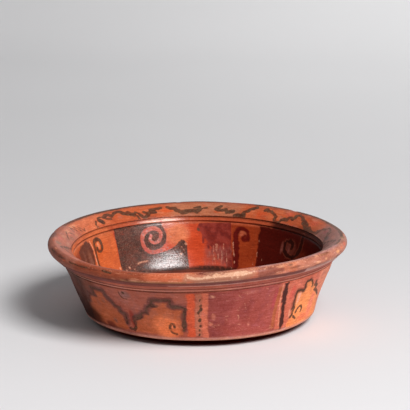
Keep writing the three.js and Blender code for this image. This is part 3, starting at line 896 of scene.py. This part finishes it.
each(dabs, LIP, "line", rows=(
    ([(163, 0.5), (150, 0.5), (138, 0.4), (123, 0.5), (111, 0.4)], 2.8, 4),
    ([(110, 0.3), (98, 0.3), (77, 0.3)], 1.6, 4), ([(64, 0.3), (54, 0.2), (47, 0.2)], 2.2, 4),
    ([(41, 0.4), (33, 0.2), (23, 0.2)], 2.4, 4), ([(22, 0.3), (13, 0.1), (2, 0), (-5, -0.2)], 2.8, 4),
    ([(-164, -3.2), (-160, -3.5)], 0.9, 4), ([(-154, -3.6), (-150, -3.7)], 0.8, 4),
    ([(-145, -3.8), (-137, -4.2), (-134, -3.6)], 0.9, 4), ([(-126.6, -3), (-122.6, -3.8)], 1.6, 4),
    ([(-42, 1.2), (-34, 1.3), (-23, 1.4)], 1.4, 4), ([(-21, 0.6), (-14, 0.3), (-10, 0.4)], 1.6, 4),
))
each(smudge, LIP, rows=(
    (-7, -0.6, 2.6, 2.0, (130, 96, 60), 0.9), (178, -2, 9, 3.4, (112, 76, 68), 0.8),
    (-156, -3.4, 16, 1.3, (104, 54, 42), 0.75), (-134, -3.6, 12, 1.2, (112, 56, 42), 0.7),
    (-30, -1.2, 14, 1.1, (178, 118, 108), 0.7), (-34, -2.8, 7, 0.9, (118, 66, 44), 0.8),
    (-24, -5.2, 3, 1, (246, 176, 118), 0.7), (-13, -4, 4, 1.6, (206, 104, 80), 0.6),
))
for start in (-115, -108, -100, -60, -50):
    one = (start, rng.uniform(-7.6, -6.4))
    stroke(LIP, "pale", [one, (start + rng.uniform(2, 6), rng.uniform(-7.6, -6.4))], 0.5)

# ---- Wear, grime and painted shade, shine ----
LINE_RIDGE = length_at(LOWER_LINE + 1.35, False)
each(ring, rows=(
    (BASAL_LENGTH + 1.7, 1.1, (222, 156, 134), 0.95), (BASAL_LENGTH - 0.4, 1.2, (206, 134, 114), 0.9),
))
smudge(OUTER, -126, 1.5, 18, 4, (122, 66, 54), 0.55)
each(ring, rows=(
    (LINE_RIDGE, 0.5, (228, 160, 136), 0.85), (LINE_RIDGE - 2.1, 0.4, (196, 122, 100), 0.6),
    (LINE_RIDGE + 2.9, 0.5, (206, 136, 114), 0.6),
))
front = facing(-68, 50)
amount["wear"] = np.maximum.reduce([
    (0.55 + 0.35 * front) * near(BASAL_LENGTH + 0.7, 1.2),
    (0.3 + 0.3 * front) * near(CREST_LENGTH - 2.0, 3.2),
    0.6 * near(LINE_RIDGE, 0.45),
    0.45 * near(LINE_RIDGE + 2.9, 0.5),
    0.5 * near(BREAK_LENGTH, 0.6),
    0.12 * (along < BASAL_LENGTH - 2),
    0.35 * (1 - soft_step(FOOT_RADIUS - 2, FOOT_RADIUS + 6, along)),
    0.4 * soft_step(FLOOR_LENGTH + 10, FLOOR_LENGTH + 40, along),
    0.2 * ((along > BASAL_LENGTH) & (along < FLARE_LENGTH)),
    0.12 * (along > CREST_LENGTH),
])
broken = np.clip(0.72 + clouds(11, 3, 0.3), 0.2, 1) * (1 - 0.3 * facing(142, 26))
# Darker along the incised lines and under the lip: partly grime in the grooves, partly painted shade, weaker at
# the front where the light falls.
amount["soot"] = np.maximum.reduce([
    (1 - 0.6 * front) * near(length_at(LOWER_LINE, False), 0.55),
    (1 - 0.6 * front) * near(length_at(UPPER_LINE, False), 0.55),
    broken * near(length_at(LOWER_INNER_LINE, True), 0.62),
    (0.3 + 0.7 * broken) * (1 - 0.5 * facing(14, 28)) * near(length_at(UPPER_INNER_LINE, True), 0.62),
    0.55 * near(FLARE_LENGTH, 0.8) * (1 - 0.65 * front),
])
each(blot, "soot", INNER, rows=((82, 12.4, 22, 1.9, 0.95), (104, 12.2, 12, 1.5, 0.8)))
blot("soot", OUTER, -131.6, 13.2, 1.0, 0.9, 1.0)
each(add, rows=(
    ("fade", OUTER, -160, -96, 0, 41, 0.35, 10), ("fade", FLANGE, 150, 182, 80, 110, 0.4, 6),
    ("fade", FLANGE, -20, 22, 80, 110, 0.25, 6), ("dust", OUTER, -165, -100, 24, 40, 0.25, 14),
    ("dust", FLANGE, 165, 200, 80, 110, 0.35, 10), ("dust", FLANGE, -30, 16, 80, 110, 0.4, 10),
    ("dust", INNER, 74, 86, 13, 25, 0.22, 4), ("grain", INNER, 95, 138, 10, 46, 1.0, 3),
    ("grain", OUTER, -86, -54, 6, 41, 0.4, 2),
))
for _ in range(26):
    blot("dust", INNER, mottle.uniform(71, 88), mottle.uniform(15, 26), mottle.uniform(0.2, 0.5),
         mottle.uniform(1.5, 4), 0.55)
amount["inside"] = soft_step(CREST_LENGTH - 3, CREST_LENGTH + 1, along)
amount["glaze"] = soft_step(BASAL_LENGTH - 0.5, BASAL_LENGTH + 1.5, along) * np.interp(along, *zip(
    (BASAL_LENGTH, 0.08), (FLARE_LENGTH - 5, 0.1), (FLARE_LENGTH, 0.13), (BREAK_LENGTH, 0.15),
    (BREAK_LENGTH + 1, 0.08), (FLOOR_LENGTH, 0.08), (FLOOR_LENGTH + 20, 0.05)))
each(add, "glaze", INNER, rows=(
    (102, 142, 16, 36, 0.9, 20), (98, 142, 16, 46, 0.45, 14), (72, 200, 12, 50, 0.25, 12),
))


# ---- Shape ----
WAVE_COUNT = 26
WAVE_SIZE = 0.064  # how far the longest of the waves stands off


def unevenness():
    """How far each point stands off the turned surface, in millimetres: the long, low waves of the hands."""
    total = np.zeros((len(ROWS), SECTORS))
    for _ in range(WAVE_COUNT):
        crests = rng.integers(2, 15)
        per_length = rng.normal(0, 1 / 30)
        size = WAVE_SIZE / (1 + crests / 7)
        phase = crests * PHI + 2 * math.pi * per_length * ROWS[:, None] + rng.uniform(0, 2 * math.pi)
        total += size * np.cos(phase)
    free = soft_step(FOOT_RADIUS + 2, FOOT_RADIUS + 22, ROWS[:, None])
    free = free * (1 - 0.5 * soft_step(FLOOR_LENGTH, FLOOR_LENGTH + 20, along))
    return total * free


DENTS = (  # side, angle, level, half width along and up, depth
    (OUTER, -132.5, 12.8, 1.1, 0.7, 0.9),
    (OUTER, -122, 38.5, 1.0, 1.0, 0.25),
    (LIP, -88, -4.6, 7, 1.4, 0.22),
    (LIP, -76, -3.8, 8, 1.6, 0.3),
    (OUTER, 44.5, 56.0, 1.6, 1.4, 0.7),
    (OUTER, 98, 56.2, 1.4, 1.2, 0.45),
    (OUTER, 171, 55.6, 2.0, 1.4, 0.4),
    (OUTER, -18, 55.6, 2.2, 1.4, 0.4),
    (OUTER, -150, 55.8, 1.6, 1.2, 0.35),
    (INNER, 132.6, 17.6, 1.0, 0.6, 0.3),
    (INNER, 98.6, 22.6, 0.8, 0.6, 0.25),
    (INNER, 53.9, 21.2, 0.7, 0.7, 0.3),
)


def surface():
    """Every point of the surface in millimetres, as rows along it by columns round it."""
    slope = np.gradient(np.stack([R, Z], 1), ROWS, axis=0)
    slope /= np.linalg.norm(slope, axis=1)[:, None]
    off = unevenness()
    for canvas, angle, level, wide, tall, depth in DENTS:
        x = away(angle)[None, :] * canvas.per_degree / wide
        y = (canvas.level - level)[:, None] * canvas.stretch / tall
        off[canvas.rows] -= depth * np.exp(-(x * x + y * y))
    r = np.maximum(R[:, None] + off * slope[:, 1:2], 0)
    z = Z[:, None] - off * slope[:, 0:1]
    r[0], r[-1] = 0, 0
    z[(R < FOOT_RADIUS + 1) & (ROWS < BASAL_LENGTH)] = 0
    grown = z / RIM_TOP
    drift = RIM_DRIFT * grown * (2 - grown) - MIDDLE_STRAY * np.exp(-((z - STRAY_HEIGHT) / STRAY_REACH) ** 2)
    swell = 1 + grown * TRILOBE * np.cos(3 * PHI) / RIM_RADIUS
    rise = sum(size * np.cos(crests * (PHI - math.radians(angle))) for size, crests, angle in WAVES)
    height = z + grown * r / RIM_RADIUS * rise - SETTLE * soft_step(0, BASAL_LIFT, z)
    return np.stack([r * np.cos(PHI) * swell - drift, r * np.sin(PHI) * swell, height], 2)


POINTS = surface().reshape(-1, 3)
BRUSHED = np.stack([np.cos(PHI) * BRUSH_RADIUS + 0 * along, np.sin(PHI) * BRUSH_RADIUS + 0 * along, along], 2)
SEAM_ROWS = [int(k) for k in STARTS]


def piece(name, node, slot, material, *spans):
    """A closed mesh over stretches of the surface's rows, each given by its first and last row."""
    rows = [row for first, last in spans for row in range(first, last + 1)]
    pole = [row in (0, len(ROWS) - 1) for row in rows]
    counts = [1 if single else SECTORS for single in pole]
    start = np.concatenate([[0], np.cumsum(counts)])
    pick = np.concatenate([row * SECTORS + np.arange(count) for row, count in zip(rows, counts)])
    here = np.arange(SECTORS)
    after = (here + 1) % SECTORS
    faces = []
    for a, b in [(k, k + 1) for k in range(len(rows) - 1)] + ([] if any(pole) else [(len(rows) - 1, 0)]):
        if pole[a]:
            corners = (start[a] + 0 * here, start[b] + here, start[b] + after)
        elif pole[b]:
            corners = (start[a] + here, start[b] + 0 * here, start[a] + after)
        else:
            corners = (start[a] + here, start[b] + here, start[b] + after, start[a] + after)
        faces += np.stack(corners[::-1], 1).tolist()
    mesh = bpy.data.meshes.new(name)
    mesh.from_pydata((POINTS[pick] / 1000).tolist(), [], faces)
    mesh.shade_smooth()

    ends = np.zeros(len(mesh.edges) * 2, np.int32)
    mesh.edges.foreach_get("vertices", ends)
    row_of = np.repeat(np.arange(len(rows)), counts)[ends.reshape(-1, 2)]
    seams = [k for k, row in enumerate(rows) if row in SEAM_ROWS[1:-1]]
    sharp = (row_of[:, 0] == row_of[:, 1]) & np.isin(row_of[:, 0], seams)
    mesh.attributes.new("sharp_edge", "BOOLEAN", "EDGE").data.foreach_set("value", sharp)

    def put(key, kind, field, values):
        data = mesh.attributes.new(key, kind, "POINT").data
        data.foreach_set(field, values[pick].reshape(-1).astype(np.float32))

    for layer in LAYERS:
        put("paint_" + layer, "FLOAT", "value", np.clip(paint[layer], -6, 6).reshape(-1))
    for key, values in amount.items():
        put("mask_" + key, "FLOAT", "value", values.reshape(-1))
    opaque = np.concatenate([ground, np.ones_like(ground[..., :1])], 2)
    put("ground", "FLOAT_COLOR", "color", opaque.reshape(-1, 4))
    put("brushed", "FLOAT_VECTOR", "vector", BRUSHED.reshape(-1, 3))
    mesh.materials.append(material)
    ob = bpy.data.objects.new(name, mesh)
    bpy.context.scene.collection.objects.link(ob)
    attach(ob, "root")
    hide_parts(node)


# ---- Materials ----
class Graph:
    """A short way to write a material's nodes."""

    def __init__(self, name):
        self.material = bpy.data.materials.new(name)
        self.material.use_nodes = True
        self.tree = self.material.node_tree
        self.tree.nodes.clear()

    def node(self, kind, **settings):
        node = self.tree.nodes.new(kind)
        for key, value in settings.items():
            setattr(node, key, value)
        return node

    def feed(self, socket, value):
        if isinstance(value, bpy.types.NodeSocket):
            self.tree.links.new(value, socket)
        else:
            socket.default_value = value

    def fill(self, node, **values):
        """Feeds a node's sockets by their names, with _ in place of a space."""
        for key, value in values.items():
            self.feed(node.inputs[key.replace("_", " ")], value)
        return node

    def math(self, operation, a, b, clamp=False):
        node = self.node("ShaderNodeMath", operation=operation, use_clamp=clamp)
        self.feed(node.inputs[0], a)
        self.feed(node.inputs[1], b)
        return node.outputs[0]

    def times(self, a, b):
        return self.math("MULTIPLY", a, b)

    def plus(self, a, b):
        return self.math("ADD", a, b)

    def most(self, a, b):
        return self.math("MAXIMUM", a, b)

    def total(self, *terms, base=None):
        """The sum of values, each times its weight, on top of a plain number."""
        value = base
        for socket, weight in terms:
            part = self.times(socket, weight)
            value = part if value is None else self.plus(value, part)
        return value

    def step(self, value, low, high, start=0.0, end=1.0):
        node = self.node("ShaderNodeMapRange", interpolation_type="SMOOTHSTEP")
        for socket, v in zip(node.inputs, (value, low, high, start, end)):
            self.feed(socket, v)
        return node.outputs[0]

    def mix(self, share, a, b):
        """From colour a to colour b as share goes from 0 to 1. A tuple is a colour in 0 to 255."""
        node = self.node("ShaderNodeMix", data_type="RGBA")
        self.feed(node.inputs[0], share)
        for socket, value in ((node.inputs[6], a), (node.inputs[7], b)):
            self.feed(socket, (*linear(value), 1.0) if isinstance(value, tuple) else value)
        return node.outputs[2]

    def mask(self, name, output="Fac"):
        return self.node("ShaderNodeAttribute", attribute_name=name).outputs[output]

    def noise(self, vector, scale, detail=2.0, roughness=0.5):
        node = self.node("ShaderNodeTexNoise")
        return self.fill(node, Vector=vector, Scale=scale, Detail=detail, Roughness=roughness).outputs["Fac"]

    def scaled(self, vector, scale, rotation=(0, 0, 0)):
        node = self.node("ShaderNodeMapping")
        return self.fill(node, Vector=vector, Scale=scale, Rotation=rotation).outputs[0]

    def bump(self, height):
        """A relief with its height in millimetres."""
        return self.fill(self.node("ShaderNodeBump"), Strength=1.0, Distance=0.001, Height=height).outputs[0]

    def finish(self, shader):
        self.feed(self.node("ShaderNodeOutputMaterial").inputs[0], shader.outputs[0])
        return self.material


def painted_clay(name):
    """Slip-painted, burnished and worn earthenware. What is painted where comes from the mesh."""
    g = Graph(name)
    spot = g.scaled(g.node("ShaderNodeTexCoord").outputs["Object"], (1000, 1000, 1000))  # in millimetres
    brushed = g.mask("brushed", "Vector")
    streak = g.noise(g.scaled(brushed, (0.14, 0.14, 0.75)), 1.0, 3.0, 0.6)
    hair = g.noise(g.scaled(brushed, (0.3, 0.3, 2.0)), 1.0, 3.0, 0.7)
    broad = g.noise(spot, 0.05, 2.0)
    patches = g.noise(spot, 0.17, 3.0, 0.55)
    mid = g.noise(spot, 0.5, 3.0, 0.6)
    clump = g.noise(spot, 0.9, 3.0, 0.7)
    fine = g.noise(spot, 1.7, 2.0, 0.6)
    grit = g.noise(spot, 5.0, 2.0, 0.6)
    scratch = g.noise(g.scaled(spot, (0.08, 1.3, 1.3), (0.5, 0.62, 0.3)), 1.0, 2.0, 0.7)
    stray = g.noise(g.scaled(spot, (1.2, 0.07, 1.2), (0.4, -0.5, 0.9)), 1.0, 2.0, 0.7)
    edge = g.total((mid, 1.1), (fine, 0.8), base=-0.95)  # makes every painted edge ragged
    speckle = g.total((clump, 0.5), (fine, 0.5))
    fade, wear, inside = g.mask("mask_fade"), g.mask("mask_wear"), g.mask("mask_inside")
    glaze, grain = g.mask("mask_glaze"), g.mask("mask_grain")

    def shade(share, colour, factor):
        """The colour multiplied by a factor for red, green and blue, as far as share says."""
        scaled = g.node("ShaderNodeMix", data_type="RGBA", blend_type="MULTIPLY")
        for socket, value in ((0, 1.0), (6, colour), (7, (*factor, 1.0))):
            g.feed(scaled.inputs[socket], value)
        return g.mix(share, colour, scaled.outputs[2])

    def cover(layer, thin, soft=0.28):
        """How much of the ground a layer of paint hides."""
        shape = g.step(g.plus(g.mask("paint_" + layer), edge), -soft, soft)
        uneven = g.step(g.total((mid, 0.5), (streak, 0.5)), 0.32, 0.6, 1 - thin, 1.0)
        rubbed = g.step(g.total((clump, 0.5), (streak, 0.5), (fade, -0.3)), 0.22, 0.44)
        left = g.math("MAXIMUM", rubbed, g.total((fade, -0.6), base=0.6), clamp=True)
        return g.times(g.times(shape, uneven), left)

    colour = g.mask("ground", "Color")
    for noise, low, high, start, end, factor in (
            (broad, 0.4, 0.66, 0.0, 0.6, (0.8, 0.7, 0.66)), (patches, 0.5, 0.72, 0.0, 0.8, (0.84, 0.86, 1.0)),
            (streak, 0.34, 0.5, 0.42, 0.0, (0.72, 0.62, 0.58)),
            (hair, 0.36, 0.5, 0.35, 0.0, (0.78, 0.68, 0.64)),
            (clump, 0.34, 0.5, 0.6, 0.0, (0.76, 0.62, 0.58)), (streak, 0.52, 0.72, 0.0, 0.7, (1.25, 1.5, 1.7)),
            (hair, 0.54, 0.72, 0.0, 0.6, (1.3, 1.6, 1.8)), (fine, 0.54, 0.72, 0.0, 0.7, (1.3, 1.6, 1.9))):
        colour = shade(g.step(noise, low, high, start, end), colour, factor)
    maroon = g.mix(g.step(patches, 0.35, 0.65), (108, 32, 26), (142, 54, 44))
    maroon = shade(g.step(fine, 0.52, 0.7, 0.0, 0.8), maroon, (1.3, 1.6, 1.7))
    colour = g.mix(cover("maroon", 0.25), colour, maroon)
    brown = g.mix(g.step(mid, 0.4, 0.64), (60, 36, 25), (98, 68, 50))
    colour = g.mix(g.times(cover("line", 0.3), 0.97), colour, brown)
    black = g.mix(g.step(patches, 0.3, 0.7), (54, 36, 29), (92, 52, 40))
    black = g.mix(g.times(g.step(fine, 0.52, 0.64), 0.55), black, (150, 112, 96))
    colour = g.mix(cover("black", 0.14), colour, black)
    colour = g.mix(g.times(cover("pale", 0.5, 0.4), 0.8), colour, (226, 158, 126))

    # Wear shows the paler clay through the slip, in grains, along the brush and in thin scratches.
    bare = g.step(g.total((clump, 0.45), (fine, 0.3), (hair, 0.25), (wear, 0.34)), 0.66, 0.78)
    lines = g.most(g.step(scratch, 0.68, 0.75), g.step(stray, 0.7, 0.76))
    shown = g.times(g.step(wear, 0.05, 0.3, 0.1, 0.5), g.total((inside, -0.85), base=1.0))
    bare = g.most(bare, g.times(lines, shown))
    chips = g.step(g.total((clump, 0.6), (fine, 0.4)), 0.64, 0.69)
    bare = g.most(bare, g.times(chips, g.total((grain, 0.6), base=0.25)))
    clay = g.mix(g.step(fine, 0.35, 0.65), (196, 122, 88), (222, 158, 126))
    colour = g.mix(g.times(bare, 0.7), colour, clay)

    cream = g.step(g.plus(g.mask("paint_cream"), g.times(edge, 1.1)), -0.25, 0.35)
    halo = g.step(g.plus(g.mask("paint_cream"), g.times(edge, 1.4)), -2.6, -0.4, 0.0, 0.6)
    colour = g.mix(halo, colour, (180, 124, 98))
    creamy = g.mix(g.step(clump, 0.35, 0.65), (206, 148, 118), (226, 182, 152))
    colour = g.mix(g.times(cream, 0.92), colour, creamy)
    dust = g.times(g.mask("mask_dust"), g.step(patches, 0.4, 0.62, 0.2, 0.7))
    colour = g.mix(dust, colour, (158, 116, 106))
    # Grime, and painted shade in the grooves and under the lip, darken the colour.
    grime_and_shade_share = g.times(g.mask("mask_soot"), g.step(g.total((mid, 0.6), (streak, 0.4)), 0.34, 0.54, 0.6, 1.0))
    colour = g.mix(grime_and_shade_share, colour, (50, 25, 16))
    pit = g.times(g.step(speckle, 0.345, 0.3), 0.85)
    colour = g.mix(pit, colour, (60, 30, 24))

    rough = g.total((inside, -0.16), (streak, 0.2), (fine, 0.16), (bare, 0.15), (cream, 0.2), base=0.42)
    dull = g.step(speckle, 0.42, 0.52, 0.25, 1.0)
    grains = g.times(g.total((clump, 0.2), (fine, 0.1)), g.step(glaze, 0.2, 0.8))
    height = g.total(
        (streak, 0.06), (hair, 0.025), (mid, 0.07), (fine, 0.035), (grit, 0.01), (bare, -0.05), (pit, -0.1))
    skin = g.total((streak, 0.06), (mid, 0.04), (clump, 0.05), (fine, 0.02))  # the softer part of that relief
    return g.finish(g.fill(
        g.node("ShaderNodeBsdfPrincipled"), Base_Color=colour, IOR=1.5, Specular_IOR_Level=0.06,
        Roughness=g.math("MINIMUM", g.most(rough, 0.3), 0.95), Normal=g.bump(g.plus(height, grains)),
        Coat_Weight=g.times(g.times(glaze, dull), g.total((cream, -0.8), base=1.0)), Coat_Roughness=0.22,
        Coat_IOR=1.65, Coat_Normal=g.bump(skin)))


PIECES = (  # name, node it replaces, slot, then the seams between which it lies, outside and inside
    ("slab_underside_and_floor", "base_slab", "base_slip", (0, 1), (8, 9)),
    ("wall_coil_lower", "lower_wall_coil", "wall_slip", (1, 2), (7, 8)),
    ("wall_coil_upper", "upper_wall_coil", "wall_slip", (2, 3), (6, 7)),
    ("neck_coil_grooved", "neck_coil", "neck_slip", (3, 4), (5, 6)),
    ("rim_coil_painted", "rim_coil", "rim_slip", (4, 5)),
)
materials = {slot: painted_clay(slot) for slot in ("base_slip", "wall_slip", "neck_slip", "rim_slip")}
for name, node, slot, *spans in PIECES:
    piece(name, node, slot, materials[slot], *[(SEAM_ROWS[a], SEAM_ROWS[b]) for a, b in spans])


# ---- Floor and backdrop, light, camera ----
def backdrop():
    """A seamless sweep of pale paper: level under the bowl, curving up far behind it. Lengths are in metres."""
    wide, front, bend_start, radius, top = 3.0, -2.2, 1.3, 1.0, 1.6
    line = [(front, 0.0), (bend_start, 0.0)]
    line += [(bend_start + radius * math.sin(a), radius - radius * math.cos(a))
             for a in np.linspace(0.05, math.pi / 2, 24)]
    line.append((bend_start + radius, radius + top))
    verts = [(x, y, z) for y, z in line for x in (-wide, wide)]
    faces = [(2 * k, 2 * k + 1, 2 * k + 3, 2 * k + 2) for k in range(len(line) - 1)]
    mesh = bpy.data.meshes.new("paper_sweep")
    mesh.from_pydata(verts, [], faces)
    mesh.shade_smooth()
    g = Graph("pale_paper")
    spot = g.node("ShaderNodeTexCoord").outputs["Object"]
    place = g.fill(g.node("ShaderNodeSeparateXYZ"), Vector=spot)
    across, back = place.outputs[0], place.outputs[1]
    cloudy = g.step(g.noise(spot, 1.3, 2.0), 0.3, 0.7)
    paper = g.mix(cloudy, (216, 214, 215), (220, 218, 219))
    paper = g.mix(g.step(back, -0.2, 0.35), paper, g.mix(cloudy, (209, 208, 209), (213, 212, 213)))
    # A dark red disc that the bowl hides gives its contact shadow the warmth that it has in the photograph.
    reach = g.node("ShaderNodeVectorMath", operation="LENGTH")
    g.feed(reach.inputs[0], spot)
    out = reach.outputs["Value"]
    paper = g.mix(g.step(out, 0.070, 0.079, 1.0, 0.0), paper, (150, 38, 24))
    shader = g.fill(g.node("ShaderNodeBsdfPrincipled"), Base_Color=paper, Roughness=0.9, Specular_IOR_Level=0.0)
    # Far back a painted glow makes the paper look brighter, most at the right. Only the eye and mirrors see it.
    path = g.node("ShaderNodeLightPath").outputs
    seen = g.most(path["Is Camera Ray"], g.most(path["Is Glossy Ray"], path["Is Transmission Ray"]))
    glow_share = g.times(g.step(back, 0.1, 1.6, 0.03, 0.3), g.step(across, -0.4, 0.45, 0.5, 1.15))
    glow = g.fill(g.node("ShaderNodeEmission"), Color=(1.0, 1.0, 1.0, 1.0),
                  Strength=g.times(g.times(glow_share, seen), g.step(out, 0.078, 0.1)))
    both = g.node("ShaderNodeAddShader")
    g.feed(both.inputs[0], shader.outputs[0])
    g.feed(both.inputs[1], glow.outputs[0])
    mesh.materials.append(g.finish(both))
    ob = bpy.data.objects.new("paper_sweep", mesh)
    bpy.context.scene.collection.objects.link(ob)


def softbox(name, azimuth, elevation, distance, size, power, target):
    """A soft light that looks at the target from this far away."""
    a, e = math.radians(azimuth), math.radians(elevation)
    towards = Vector((math.cos(e) * math.cos(a), math.cos(e) * math.sin(a), math.sin(e)))
    data = bpy.data.lights.new(name, "AREA")
    data.shape = "RECTANGLE"
    data.size, data.size_y = size
    data.energy = power
    ob = bpy.data.objects.new(name, data)
    ob.location = Vector(target) + towards * distance
    ob.rotation_euler = towards.to_track_quat("Z", "Y").to_euler()
    bpy.context.scene.collection.objects.link(ob)


backdrop()
softbox("key_softbox", -49, 46, 2.6, (1.25, 1.1), 82, (0, 0, 0.03))

world = bpy.data.worlds.new("studio")
bpy.context.scene.world = world
world.use_nodes = True
sky = world.node_tree.nodes["Background"].inputs
sky["Color"].default_value = (0.97, 0.98, 1.0, 1.0)
sky["Strength"].default_value = 0.2

# The camera that was fitted to the photograph's ellipses and outlines.
SENSOR = 36
PHOTO_PIXELS = 410
FOCAL_PIXELS = 1704
LOOKS_DOWN = 12.87
LOOKS_RIGHT = 0.147
camera_data = bpy.data.cameras.new("photo_camera")
camera_data.sensor_width = SENSOR
camera_data.lens = SENSOR * FOCAL_PIXELS / PHOTO_PIXELS
camera = bpy.data.objects.new("photo_camera", camera_data)
camera.location = (0, -1.1652, 0.3454)
camera.rotation_euler = Euler((math.radians(90 - LOOKS_DOWN), 0, math.radians(-LOOKS_RIGHT)))
bpy.context.scene.collection.objects.link(camera)
bpy.context.scene.camera = camera
bpy.context.scene.view_settings.view_transform = "Standard"
